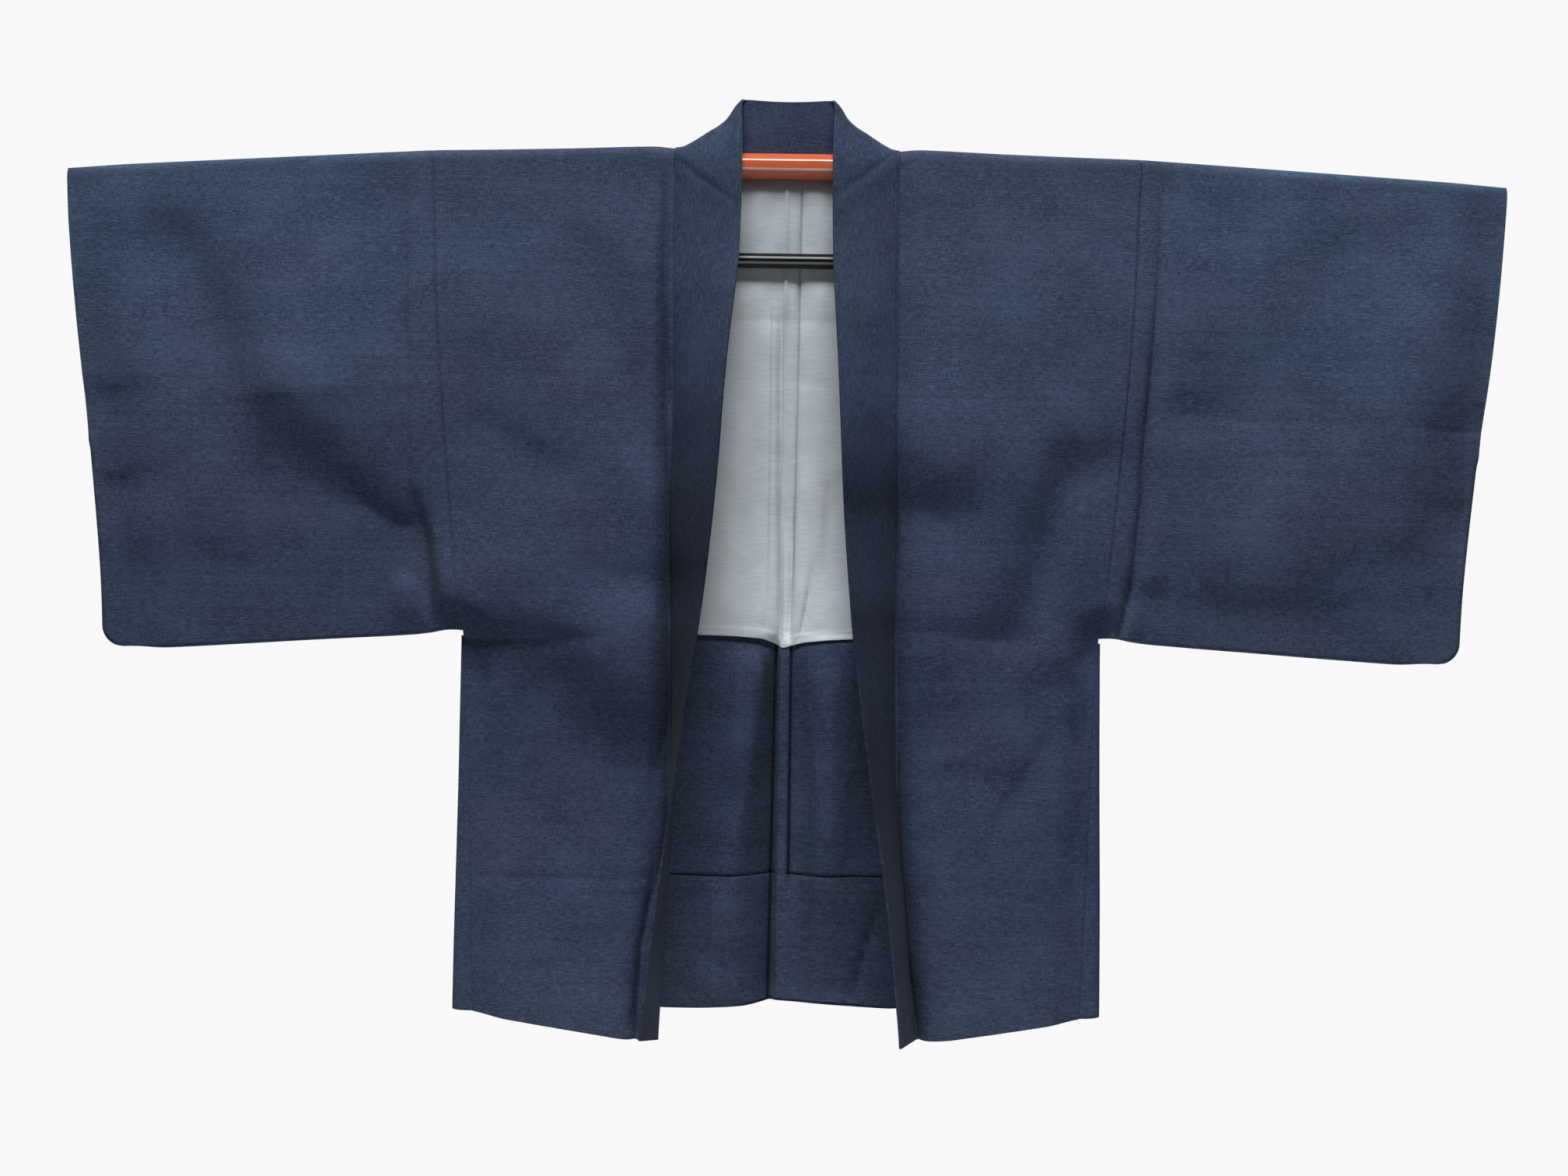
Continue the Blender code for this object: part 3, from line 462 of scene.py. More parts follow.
# The studio. Lamps are soft rectangles that all look at one point.
Lamp = namedtuple("Lamp", "name place power wide tall")
LAMPS = [Lamp("key", (-0.26, -2.21, 4.52), 420, 3.4, 1.3),
         Lamp("fill", (0.0, -3.2, 0.2), 2.5, 2.0, 2.0),
         Lamp("low light", (0.0, -1.9, -1.35), 1.6, 0.12, 0.12),
         Lamp("back light", (0.4, 2.4, 1.3), 85, 1.6, 1.6)]
LAMPS_AIM = (0, 0, -0.35)
FLOOR_Z = -1.45
LENS = 48.44
CAMERA_PLACE = (0.0023, -2.0, -0.4114)
CAMERA_ROLL = -0.8
SEAM_SHADOW = (0.30, 0.30, 0.32)


def smooth(t):
    """Goes from 0 to 1 with flat ends."""
    t = np.clip(t, 0.0, 1.0)
    return t * t * (3 - 2 * t)


def rise(value, ramp):
    """Goes smoothly from 0 to 1 over a ramp's length from its start."""
    return smooth((value - ramp.start) / ramp.length)


def mix(a, b, t):
    return a + (b - a) * t


def spread(steps, ends=0.0, near=0.02, lines=()):
    """Shares from 0 to 1, closer together near both ends and at the lines where the finest creases run."""
    fine = np.linspace(0, 1, 4001)
    crowd = 1 + ends * (np.exp(-fine / near) + np.exp((fine - 1) / near))
    crowd = crowd + sum(CREASE_CROWD * np.exp(-(((fine - line) / CREASE_REACH) ** 2)) for line in lines)
    count = np.concatenate([[0], np.cumsum((crowd[1:] + crowd[:-1]) / 2)])
    return np.interp(np.linspace(0, count[-1], steps + 1), count, fine)


def pick(shares, number):
    """The shares at whole numbers, kept within their range."""
    return shares[np.clip(number, 0, len(shares) - 1).astype(int)]


def look_up(table, at, column, reach=0.0):
    """Reads a column of a table between its rows. reach rounds the corners at the rows."""
    keys = [row[0] for row in table]
    values = [getattr(row, column) for row in table]
    return np.mean([np.interp(at + reach * k / 3, keys, values) for k in range(-3, 4)], axis=0)


def round_off(degrees):
    """A point on a full round: how far across from -1 at 180 degrees to 1 at 0, and how far up."""
    c, s = np.cos(np.radians(degrees)), np.sin(np.radians(degrees))
    return np.sign(c) * np.abs(c) ** SQUARENESS, np.maximum(0.0, s) ** SQUARENESS


def wander(x, z, size, seed):
    """Smooth noise over a face of cloth, about -1 to 1."""
    return np.array([noise.noise(Vector((a / size, b / size, seed))) for a, b in zip(x, z)])


def shoulder_z(x):
    return look_up(SHOULDER, x, "z", reach=SHOULDER_ROUNDING)


def below_armpit(drop):
    """The share of the way from the armpit to the hem, below 0 above the armpit."""
    return (drop - ARMPIT) / (1 - ARMPIT)


def gusset_width(drop):
    return mix(GUSSET_TOP, GUSSET_HEM, np.maximum(0.0, drop - ARMPIT) / (1 - ARMPIT))


def outer_x(drop):
    """The body's outer seam: the armhole, and below it the seam with the gusset."""
    t = np.minimum(drop, ARMPIT) / ARMPIT
    armhole = ARMHOLE_TOP - ARMHOLE_STRAIGHT * t - ARMHOLE_CURVED * t**2.5
    side = mix(SIDE_TOP, SIDE_HEM, smooth(below_armpit(drop)))
    return np.where(drop <= ARMPIT, armhole, side - gusset_width(drop))


def outer_edge(drop):
    """The body's cut edge, which laps its outer seam."""
    return outer_x(drop) + SEAM_LAP / 2


def side_half(drop):
    """Half the hollow at the body's outer seam."""
    upper = mix(-FRONT_Y, ARMPIT_HALF, smooth((drop - ARMHOLE_OPEN) / (ARMPIT - ARMHOLE_OPEN)))
    lower = mix(ARMPIT_HALF, HEM_HALF, smooth(below_armpit(drop)))
    return np.where(drop <= ARMPIT, upper, lower)


def rounded_line(fold):
    """The fold's line with soft corners, and with both ends run out to nothing."""
    line = np.array(fold.line)
    first, last = 2 * line[0] - line[1], 2 * line[-1] - line[-2]
    for end, point in ((first, line[0]), (last, line[-1])):
        step = end[:2] - point[:2]
        end[:2] = point[:2] + step / np.hypot(*step) * LINE_ENDS
        end[2] = 0
    line = np.array([first, *line, last])
    along = np.concatenate([[0], np.cumsum(np.hypot(*np.diff(line[:, :2], axis=0).T))])
    even = np.linspace(0, along[-1], max(3, int(along[-1] / LINE_STEP)) + 1)
    at = [np.clip(even + LINE_ROUNDING * k / 2, 0, along[-1]) for k in (-1, 0, 1)]
    columns = [np.mean([np.interp(a, along, column) for a in at], axis=0) for column in line.T]
    return np.stack(columns, axis=-1)


def stand_out(fold, x, z, power):
    """How far one fold pushes the cloth out at each place. Its power is 2 if it is round and 1 if sharp."""
    line = rounded_line(fold)
    reach = max(fold.upper, fold.lower) * FADED[power]
    near = (x > line[:, 0].min() - reach) & (x < line[:, 0].max() + reach)
    near &= (z > line[:, 1].min() - reach) & (z < line[:, 1].max() + reach)
    x, z = x[near], z[near]
    least, off, tall = np.full(x.shape, np.inf), np.zeros(x.shape), np.zeros(x.shape)
    for (x0, z0, h0), (x1, z1, h1) in zip(line, line[1:]):
        dx, dz = x1 - x0, z1 - z0
        t = np.clip(((x - x0) * dx + (z - z0) * dz) / (dx * dx + dz * dz), 0, 1)
        right, up = x - x0 - t * dx, z - z0 - t * dz
        far = np.hypot(right, up)
        closer = far < least
        least = np.where(closer, far, least)
        off = np.where(closer, np.sign(dx * up - dz * right), off)
        tall = np.where(closer, mix(h0, h1, t), tall)
    upper_side = 1 if line[-1, 0] > line[0, 0] else -1
    fade = least / np.where(off == upper_side, fold.upper, fold.lower)
    out = np.zeros(near.shape)
    out[near] = tall * np.exp(-(fade**power))
    return out


def relief(side, face, x, z):
    """How far folds, creases and the wander of the cloth push it outward at a place."""
    total = sum(stand_out(fold, x, z, 2) for fold in FOLDS[(side, face)])
    limit = np.where(total > 0, FOLD_OUT, FOLD_IN)
    total = limit * np.tanh(total / limit)
    seed = WANDER_SEEDS[(side, face)]
    total = total + DRAPE * wander(x, z, DRAPE_SIZE, seed) + PUCKER * wander(x, z, PUCKER_SIZE, seed + 5)
    total = total * smooth((-z - FOLD_CLEAR) / FOLD_START)
    return total + sum(stand_out(crease, x, z, 1) for crease in CREASES[(side, face)])


def slack(z, side_seam, drop_left, collar=1.0, cuff=1.0, bottom=1.0):
    """How far loose cloth stands off, given how far it is from the seams and edges that hold it."""
    armpit = np.hypot(side_seam, np.maximum(0, drop_left) * SLEEVE_DROP / ARMPIT)
    held = smooth(armpit / SLACK_SIDES) * smooth(collar / SLACK_SIDES) * smooth(cuff / SLACK_CUFF)
    held = held * np.sin(np.clip(bottom, 0, 1) * math.pi / 2)
    return SLACK * held * smooth((-z - FOLD_CLEAR) / SLACK_TOP)


def keep_open(half):
    """Keeps a wall on its own side of the middle."""
    spare = half - LEAST_HALF
    return LEAST_HALF + (spare + np.sqrt(spare**2 + LEAST_HALF**2)) / 2


def front_hem(x):
    return mix(HEM_FRONT, HEM_SIDE, (x - HEM_SLANT_FROM) / (SIDE_TOP - HEM_SLANT_FROM))


def back_hem(side, x):
    return HEM_BACK + look_up(HEM_LIFT, SIGN[side] * x, "z", reach=HEM_ROUNDING)


def drop_on_back(side, x, z):
    """How far down the back wall a height is, as a share."""
    return (shoulder_z(x) - z) / (shoulder_z(x) - back_hem(side, x))


def pinch(x, drop):
    return smooth((x - PINCH_FROM) / (outer_x(drop) - PINCH_FROM))


def collar_seam(side, drop):
    return look_up(ROLL[side], drop, "seam", ROLL_ROUNDING)


def front_y(side, x, drop, z):
    """The middle of the front wall."""
    loose = slack(z, outer_x(drop) - x, ARMPIT - drop, collar=x - collar_seam(side, drop))
    y = -keep_open(mix(-FRONT_Y, side_half(drop), pinch(x, drop)) + loose + relief(side, "front", x, z))
    curl = np.exp(-(((x - collar_seam(side, drop)) / SEAM_CURL) ** 2))
    return y + SEAM_BACK * curl * rise(drop, SEAM_CURLS)


def back_y(side, x, drop, z):
    """The middle of the back wall: the centre seam hangs in a fold that deepens to the hem."""
    loose = slack(z, outer_x(drop) - x, ARMPIT - drop, collar=x - NECK_HALF)
    y = keep_open(mix(BACK_Y, side_half(drop), pinch(x, drop)) + loose + relief(side, "back", x, z))
    deepens = rise(drop, CENTRE_FOLD_GROWS) ** CENTRE_FOLD_EASE
    y = y + CENTRE_FOLD * np.exp(-((x / CENTRE_FOLD_HALF) ** 2)) * deepens
    y = y - sum(stand_out(fold, SIGN[side] * x, z, 2) for fold in INSIDE_FOLDS)
    return y - sum(stand_out(crease, SIGN[side] * x, z, 1) for crease in INSIDE_CREASES)


def edge_roll(distance, drop=0.0):
    """How far the cloth turns in, that far from its edge. It is least where front and back are close."""
    close = rise(drop, WALLS_CLOSE) * (1 - WALLS_PARTED * rise(drop, WALLS_PART))
    deep = mix(EDGE_ROLL, EDGE_ROLL_LEAST, close)
    return deep * np.exp(-((distance / EDGE_ROLL_WIDTH) ** 2))


def clear_of_back(side, x, y, z):
    """Keeps the front and what is sewn to it from reaching the back."""
    room = back_y(side, x, drop_on_back(side, x, z), z) - BACK_CLEAR - y
    return y - (np.sqrt(room**2 + BACK_SOFT**2) - room) / 2


def front_place(side, share, drop):
    """A place on the front, a share of the way from the collar to the outer seam."""
    inner, outer = collar_seam(side, drop), outer_edge(drop)
    x = mix(inner, outer, share)
    z = mix(shoulder_z(x), front_hem(x), drop)
    y = front_y(side, x, drop, z) + edge_roll(x - inner) + edge_roll(outer - x, drop)
    return np.stack([x, clear_of_back(side, x, y, z), z], axis=-1)


def back_place(side, x, drop):
    z = mix(shoulder_z(x), back_hem(side, x), drop)
    y = back_y(side, x, drop, z) - edge_roll(outer_edge(drop) - x, drop) - edge_roll(x, 1.0)
    return np.stack([x, y, z], axis=-1)


def crest_place(x, low, front, back, degrees):
    """Where the cloth lies over the bar, from the front at 180 degrees to the back at 0."""
    across, up = round_off(degrees)
    return np.stack([x, mix(front, back, (across + 1) / 2), low + CREST * up], axis=-1)


def flat_grid(columns, rows):
    """A grid to be placed, with each point's column and row."""
    mesh = bmesh.new()
    bmesh.ops.create_grid(mesh, x_segments=columns, y_segments=rows, size=0.5)
    column = np.array([round((v.co.x + 0.5) * columns) for v in mesh.verts])
    row = np.array([round((v.co.y + 0.5) * rows) for v in mesh.verts])
    return mesh, column, row


def lay_out(mesh, side, places, flat):
    """Moves a grid's points to their places on one side, and keeps their flat places as its UV map."""
    cloth_map = mesh.loops.layers.uv.new("cloth")
    for vertex, place, spot in zip(mesh.verts, places, flat):
        vertex.co = (SIGN[side] * place[0], place[1], place[2])
        for loop in vertex.link_loops:
            loop[cloth_map].uv = (SIGN[side] * spot[0], spot[1])


def finish_piece(name, mesh, finish, thickness=None, even=True):
    """Makes the mesh an object that rides with the jacket. A sheet gets its thickness and rounded edges."""
    bmesh.ops.recalc_face_normals(mesh, faces=mesh.faces)
    data = bpy.data.meshes.new(name)
    mesh.to_mesh(data)
    mesh.free()
    data.shade_smooth()
    piece = bpy.data.objects.new(name, data)
    bpy.context.scene.collection.objects.link(piece)
    data.materials.append(finish)
    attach(piece, "root")
    if thickness:
        wall = piece.modifiers.new("wall", "SOLIDIFY")
        wall.thickness = thickness
        wall.offset = 0.0
        wall.use_even_offset = even
        wall.use_rim = True
        edges = piece.modifiers.new("rounded edges", "BEVEL")
        edges.width = thickness * EDGE_ROUNDING
        edges.segments = 2
        edges.limit_method = "ANGLE"
        edges.angle_limit = math.radians(50)
    return piece


def make_body(side, finish):
    """The one length of cloth for the front and back of a side, laid over the bar at the shoulder."""
    back_start = FRONT_ROWS + CREST_ROWS
    mesh, column, row = flat_grid(NECK_COLUMNS + BODY_COLUMNS, back_start + BACK_ROWS)
    spare = (column < NECK_COLUMNS) & (row < back_start)
    vertices = list(mesh.verts)
    bmesh.ops.delete(mesh, geom=[vertices[k] for k in np.flatnonzero(spare)], context="VERTS")
    column, row = column[~spare].astype(float), row[~spare].astype(float)

    share = pick(spread(BODY_COLUMNS, ends=4.0, near=0.034), column - NECK_COLUMNS)
    low_drop = CREST / (shoulder_z(MID_SHOULDER) - HEM_BACK)
    up_front = spread(FRONT_ROWS, ends=2.0, near=0.004, lines=[1 - drop for drop in CREASE_DROPS])
    down_back = spread(BACK_ROWS, ends=2.0, near=0.004, lines=BACK_DROPS)
    front = front_place(side, share, mix(low_drop, 1, 1 - pick(up_front, row)))
    back_drop = mix(low_drop, 1, pick(down_back, row - FRONT_ROWS - CREST_ROWS))
    wide = mix(NECK_HALF, outer_edge(back_drop), share)
    neck = mix(-SEAM_LAP / 2, NECK_HALF, pick(spread(NECK_COLUMNS, ends=3.0, near=0.11), column))
    back = back_place(side, np.where(column < NECK_COLUMNS, neck, wide), back_drop)
    crest_x = mix(NECK_HALF, outer_edge(low_drop), share)
    over = np.clip((row - FRONT_ROWS) / CREST_ROWS, 0, 1)
    crest = crest_place(crest_x, shoulder_z(crest_x) - CREST, front[:, 1], back[:, 1], 180 * (1 - over))

    on_back, on_front = row >= back_start, row <= FRONT_ROWS
    places = np.where(on_back[:, None], back, np.where(on_front[:, None], front, crest))
    height = places[:, 2]
    length = np.where(on_front, height - CREST_LENGTH / 2, CREST_LENGTH * (over - 0.5))
    length = np.where(on_back, -height + CREST_LENGTH / 2, length)
    lay_out(mesh, side, places, np.stack([places[:, 0], length], axis=-1))
    piece = finish_piece(f"body_{side}", mesh, finish, CLOTH)
    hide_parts(f"front_{side}", f"shoulder_{side}", f"back_{side}")


def sleeve_x(share, down):
    """Across the sleeve from the armhole to the outer edge, whose lower corner is round."""
    edge = look_up(SLEEVE_EDGE, down, "x", reach=0.05)
    x = mix(outer_x(down * ARMPIT) - SEAM_LAP / 2, edge, share)
    up = (1 - down) * (shoulder_z(x) - look_up(SLEEVE_HEM, x, "z"))
    short = np.clip(SLEEVE_CORNER - up, 0, SLEEVE_CORNER)
    cut = SLEEVE_CORNER - np.sqrt(SLEEVE_CORNER**2 - short**2)
    return x - cut * rise(share, CORNER_CUT)


def sleeve_z(x, down):
    """The height at a share of the sleeve's drop. At the armhole it is the body's own height."""
    body = mix(shoulder_z(x), front_hem(x), down * ARMPIT)
    free = mix(shoulder_z(x), look_up(SLEEVE_HEM, x, "z", reach=0.02), down)
    return mix(body, free, rise(x, SLEEVE_FREE))


def sleeve_half(share, down):
    """Half the hollow of a sleeve: as the body's at the armhole, flatter to the hand, shut where sewn."""
    half = look_up(SLEEVE_OPEN, down, "half", reach=0.03)
    half = mix(side_half(down * ARMPIT), half, rise(share, SLEEVE_FLATTENS))
    half = mix(half, np.minimum(half, CUFF_HALF), rise(share, CUFF_FLATTENS))
    past = np.maximum(0, share - SEWN_EDGE.start) / SEWN_EDGE.length
    shut = np.sqrt(np.clip(1 - past**2, 0, 1))
    return half * mix(1, shut, rise(down, CUFF_ENDS))


def make_sleeve(side, finish):
    """One length of cloth folded at the top, sewn along the bottom and up the outer edge to the cuff."""
    back_start = SLEEVE_ROWS + CREST_ROWS
    bottom_start = back_start + SLEEVE_ROWS
    rows = bottom_start + BOTTOM_ROWS
    mesh, column, row = flat_grid(SLEEVE_COLUMNS, rows)
    column, row = column.astype(float), row.astype(float)
    share = pick(spread(SLEEVE_COLUMNS, ends=4.0, near=0.034), column)
    downs = spread(SLEEVE_ROWS, ends=3.0, near=0.008, lines=[CREASE_DOWN])
    down = np.where(row < SLEEVE_ROWS, pick(downs, SLEEVE_ROWS - row), pick(downs, row - back_start))
    over = np.clip((row - SLEEVE_ROWS) / CREST_ROWS, 0, 1)
    under = np.clip((row - bottom_start) / BOTTOM_ROWS, 0, 1)

    down = mix(CREST / (shoulder_z(MID_SLEEVE) - SLEEVE_HEM[5].z), 1, down)
    x = sleeve_x(share, down)
    z = sleeve_z(x, down)
    half = sleeve_half(share, down)
    armhole = edge_roll(x - outer_x(down * ARMPIT), down * ARMPIT)
    shut = mix(1, 0, rise(share, EDGE_SHUTS) * rise(down, CUFF_ENDS))
    calm = 1 - BOTTOM_CALM * rise(down, BOTTOM_CALMS) * rise(share, CALM_STARTS)
    bottom = mix(1, (1 - down) * SLEEVE_DROP / SLACK_BOTTOM, rise(share, BOTTOM_STARTS))
    loose = half + slack(z, x - outer_x(down * ARMPIT), ARMPIT * (1 - down),
                         cuff=look_up(SLEEVE_EDGE, down, "x") - x, bottom=bottom)
    front = -mix(half, keep_open(loose + calm * relief(side, "front", x, z)), shut) + armhole
    back = mix(half, keep_open(loose + calm * relief(side, "back", x, z)), shut) - armhole
    crest = crest_place(x, shoulder_z(x) - CREST, front, back, 180 * (1 - over))
    turn = math.pi * under
    round_down = np.minimum(np.abs(back - front) / 2, SLEEVE_ROUND) * np.sin(turn)
    round_down = round_down * smooth((1 - share) / ROUND_ENDS)
    round_down = round_down * mix(ROUND_LEAST, 1, rise(share, ROUND_STARTS))
    bottom = np.stack([x, mix(back, front, (1 - np.cos(turn)) / 2), z - round_down], axis=-1)
    places = np.stack([x, np.where(row <= SLEEVE_ROWS, front, back), z], axis=-1)
    on_crest, on_bottom = (row > SLEEVE_ROWS) & (row < back_start), row > bottom_start
    places = np.where(on_crest[:, None], crest, np.where(on_bottom[:, None], bottom, places))
    length = np.where(row > SLEEVE_ROWS, CREST_LENGTH / 2 - z + BOTTOM_LENGTH * under, z - CREST_LENGTH / 2)
    length = np.where(on_crest, CREST_LENGTH * (over - 0.5), length)
    lay_out(mesh, side, places, np.stack([x, length], axis=-1))

    ends = [v for v, r, c, d in zip(mesh.verts, row, column, down)
            if r in (0, rows) or (c == SLEEVE_COLUMNS and d > CUFF_ENDS.start + CUFF_ENDS.length)]
    bmesh.ops.remove_doubles(mesh, verts=ends, dist=SAME_PLACE)
    piece = finish_piece(f"outer_sleeve_{side}", mesh, finish, CLOTH)
    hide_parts(f"sleeve_{side}")


def make_gusset(side, finish):
    """The narrow wedge between front and back from the armpit to the hem, bent round the side."""
    mesh, column, row = flat_grid(GUSSET_COLUMNS, GUSSET_ROWS)
    drop = mix(1, GUSSET_START, row / GUSSET_ROWS)
    front = front_place(side, np.ones_like(drop), drop)
    back = back_place(side, outer_edge(drop), drop)
    across, out = round_off(180 * (1 - column / GUSSET_COLUMNS))
    t = (across + 1) / 2
    x = front[:, 0] - SEAM_LAP + (gusset_width(drop) + SEAM_LAP) * out
    places = np.stack([x, mix(front[:, 1], back[:, 1], t), mix(front[:, 2], back[:, 2], t)], axis=-1)
    lay_out(mesh, side, places, np.stack([x + places[:, 1], places[:, 2]], axis=-1))
    piece = finish_piece(f"side_gusset_{side}", mesh, finish, CLOTH)
    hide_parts(f"gusset_{side}")


def inner_layer(name, side, down, ends, lift, finish):
    """A layer inside the back wall. down gives its rows as shares, and ends gives its heights at x."""
    step = CLOTH / 2 + LAYER_GAP + LINING / 2
    across = spread(LINING_COLUMNS, ends=4.0, near=0.06)
    mesh, column, row = flat_grid(len(across) - 1, len(down) - 1)
    share, t = across[column], down[row]
    z = mix(*ends(side, 0 * t), t)
    drop = (shoulder_z(MID_SHOULDER) - z) / (shoulder_z(MID_SHOULDER) - HEM_BACK)
    x = mix(-SEAM_LAP / 2, outer_x(drop) - LAYER_SHORT, share)
    low, high = ends(side, x)
    z = mix(low, high, t)
    places = back_place(side, x, drop_on_back(side, x, z))
    places[:, 1] -= step + lift(side, x, z, z - low)
    lay_out(mesh, side, places, places[:, [0, 2]])
    return finish_piece(name, mesh, finish, LINING)


def lining_ends(side, x):
    return look_up(LINING_EDGE, SIGN[side] * x, "z", reach=0.002), shoulder_z(x) - NECK_DROP * LINING_TOP


def lining_lift(side, x, z, up):
    """The lining hangs a little loose, and its hem is turned up."""
    loose = LINING_LOOSE * (1 + wander(x, z, LINING_WAVES, 70.0)) * rise(-z, LINING_LOOSENS)
    swell = look_up(LINING_SWELL, -z, "half", reach=0.004) * smooth((SWELL_TO - x) / SWELL_FADES)
    swell = swell * (1 + SWELL_UNEVEN * wander(x, z * SWELL_STRETCH, SWELL_WAVES, 90.0))
    return loose + swell + HEM_STEP * smooth((LINING_HEM - up) / HEM_STEP_LENGTH + 0.5)


def hem_ends(side, x):
    return back_hem(side, x) + HEM_TUCK, HEM_LINE + 0 * x


def hem_lift(side, x, z, up):
    return HEM_LOOSE + 0 * x


def make_linings(side, lining, navy):
    """The lining, and the body's own hem turned up inside."""
    down = spread(LINING_ROWS, ends=1.0, near=0.004, lines=[LINING_HEM / 0.45])
    piece = inner_layer(f"back_lining_{side}", side, down, lining_ends, lining_lift, lining)
    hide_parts(f"lining_{side}")
    down = spread(HEM_ROWS, ends=2.0)
    piece = inner_layer(f"hem_turned_up_{side}", side, down, hem_ends, hem_lift, navy)
    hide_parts(f"turned_hem_{side}")


def make_seam_strip(navy):
    """The pressed allowance of the centre back seam, inside, between the lining and the turned-up hem."""
    mesh, column, row = flat_grid(STRIP_COLUMNS, STRIP_ROWS)
    x = mix(*SEAM_STRIP, column / STRIP_COLUMNS)
    z = mix(HEM_LINE - STRIP_UNDER_HEM, look_up(LINING_EDGE, x, "z") + STRIP_UNDER_LINING, row / STRIP_ROWS)
    places = back_place("left", x, drop_on_back("left", x, z))
    places[:, 1] -= CLOTH + HEM_LOOSE
    lay_out(mesh, "left", places, places[:, [0, 2]])
    piece = finish_piece("centre_seam_strip", mesh, navy, CLOTH)


def collar_lines(side):
    """The band's cross lines on one side, from front hem to centre back, as seam, free edge and sag."""
    drop = np.linspace(1.0, COLLAR_TURNS, FRONT_LINES)
    seam = front_place(side, np.zeros_like(drop), drop)
    seam[:, 1] -= COLLAR_ON
    turn = np.radians(look_up(ROLL[side], drop, "turn", ROLL_ROUNDING))
    seam[:, 0] += COLLAR_LAP * np.cos(turn) - COLLAR / 2 * np.sin(np.minimum(turn, math.pi / 2))
    edge = seam + np.stack([-BAND * np.cos(turn), -BAND * np.sin(turn), 0 * turn], axis=-1)
    on_chest = smooth((drop - OVERLAP_START) / OVERLAP_FADE) * smooth((OVERLAP_END - drop) / OVERLAP_FADE)
    seam[:, 0] += OVERLAP[side] * on_chest
    edge[:, 2] += BAND_LIFT[side] * rise(drop, BAND_LIFTS) - SLANT * np.exp(-drop / SLANT_FADES)
    join = np.exp(-drop / SLANT_FADES * 2)
    edge[:, 0] = mix(edge[:, 0], FAN[0].x, join)
    edge[:, 1] = mix(edge[:, 1], FAN[0].y, join)

    degrees = np.linspace(180, 0, FAN_LINES)
    corner = smooth(1 - degrees / NECK_CORNER)
    round_x, round_z = round_off(degrees)
    low = shoulder_z(NECK_HALF) - CREST
    fan_seam = crest_place(np.full_like(degrees, NECK_HALF), low, FRONT_Y, BACK_Y, degrees)
    fan_seam += np.stack([0 * degrees + COLLAR_LAP, COLLAR / 4 * round_x, COLLAR / 4 * round_z], axis=-1)
    fan_seam[:, 2] -= NECK_LAP * corner
    fan_seam[:, 0] += NECK_LAP * corner
    fan = {name: look_up(sorted(FAN), degrees, name, reach=12) for name in ("x", "y", "z", "sag")}
    fan_edge = np.stack([fan["x"], fan["y"], fan["z"]], axis=-1)

    neck = np.linspace(0.9, 0.0, NECK_LINES)
    neck_seam = back_place(side, NECK_HALF * neck, np.full_like(neck, NECK_DROP))
    neck_seam[:, 0] = NECK_HALF * neck
    neck_seam[:, 1] = BACK_Y
    neck_seam[:, 2] -= NECK_LAP
    end = FAN[-1]
    neck_edge = np.stack([end.x * neck, end.y + 0 * neck, end.z - NECK_SAG * (1 - neck**2)], axis=-1)
    return (np.concatenate([seam, fan_seam, neck_seam]), np.concatenate([edge, fan_edge, neck_edge]),
            np.concatenate([0 * drop, fan["sag"], 0 * neck]))


def make_collar(finish):
    """One band sewn from hem to hem around the neck."""
    halves = []
    for side in ("right", "left"):
        seam, edge, sag = collar_lines(side)
        seam[:, 0] *= SIGN[side]
        edge[:, 0] *= SIGN[side]
        halves.append([seam, edge, sag])
    seam, edge, sag = (np.concatenate([a, b[::-1][1:]]) for a, b in zip(*halves))
    middle = (seam + edge) / 2
    along = np.concatenate([[0], np.cumsum(np.linalg.norm(np.diff(middle, axis=0), axis=1))])

    even = np.linspace(0, along[-1], COLLAR_ROWS + 1)
    lines = np.stack([np.interp(even, along, values) for values in (*seam.T, *edge.T, sag)], axis=-1)
    for _ in range(COLLAR_SMOOTHING):
        lines[1:-1] = (lines[:-2] + 2 * lines[1:-1] + lines[2:]) / 4
    mesh, column, row = flat_grid(COLLAR_COLUMNS, COLLAR_ROWS)
    seam, edge, sag = lines[row, 0:3], lines[row, 3:6], lines[row, 6]
    share = spread(COLLAR_COLUMNS, ends=1.5, near=0.03)[column]
    across = edge - seam
    hand = np.sign(seam[:, 0])
    down = np.stack([-across[:, 2] * hand, 0 * share, across[:, 0] * hand], axis=-1)
    down /= np.linalg.norm(down, axis=1)[:, None]
    down[:, 2] = np.where(sag > 0, down[:, 2], 0)
    sag = sag * look_up(SAG, share, "depth", reach=0.04)
    places = seam + across * share[:, None] + down * sag[:, None]
    on_front = rise(np.abs(seam[:, 0]), BAND_ROLLS) * (seam[:, 1] < 0)
    on_front = on_front * np.where(seam[:, 0] < 0, BAND_ROLL_RIGHT, 1)
    places[:, 1] += BAND_ROLL * np.exp(-((share / BAND_ROLL_SHARE) ** 2)) * on_front
    for side, folds in COLLAR_CREASES.items():
        here = places[:, 0] * SIGN[side] > NECK_MIDDLE
        x, _, z = places[here].T
        places[here, 1] -= sum(stand_out(fold, np.abs(x), z, 1) for fold in folds)
        here = here & (seam[:, 1] < FRONT_TO) & (places[:, 2] < CHEST_FROM)
        x, y, z = places[here].T
        places[here, 1] = clear_of_back(side, np.abs(x), y, z)
    lay_out(mesh, "left", places, np.stack([share * BAND, even[row]], axis=-1))
    piece = finish_piece("collar_band", mesh, finish, COLLAR, even=False)
    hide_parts("collar")


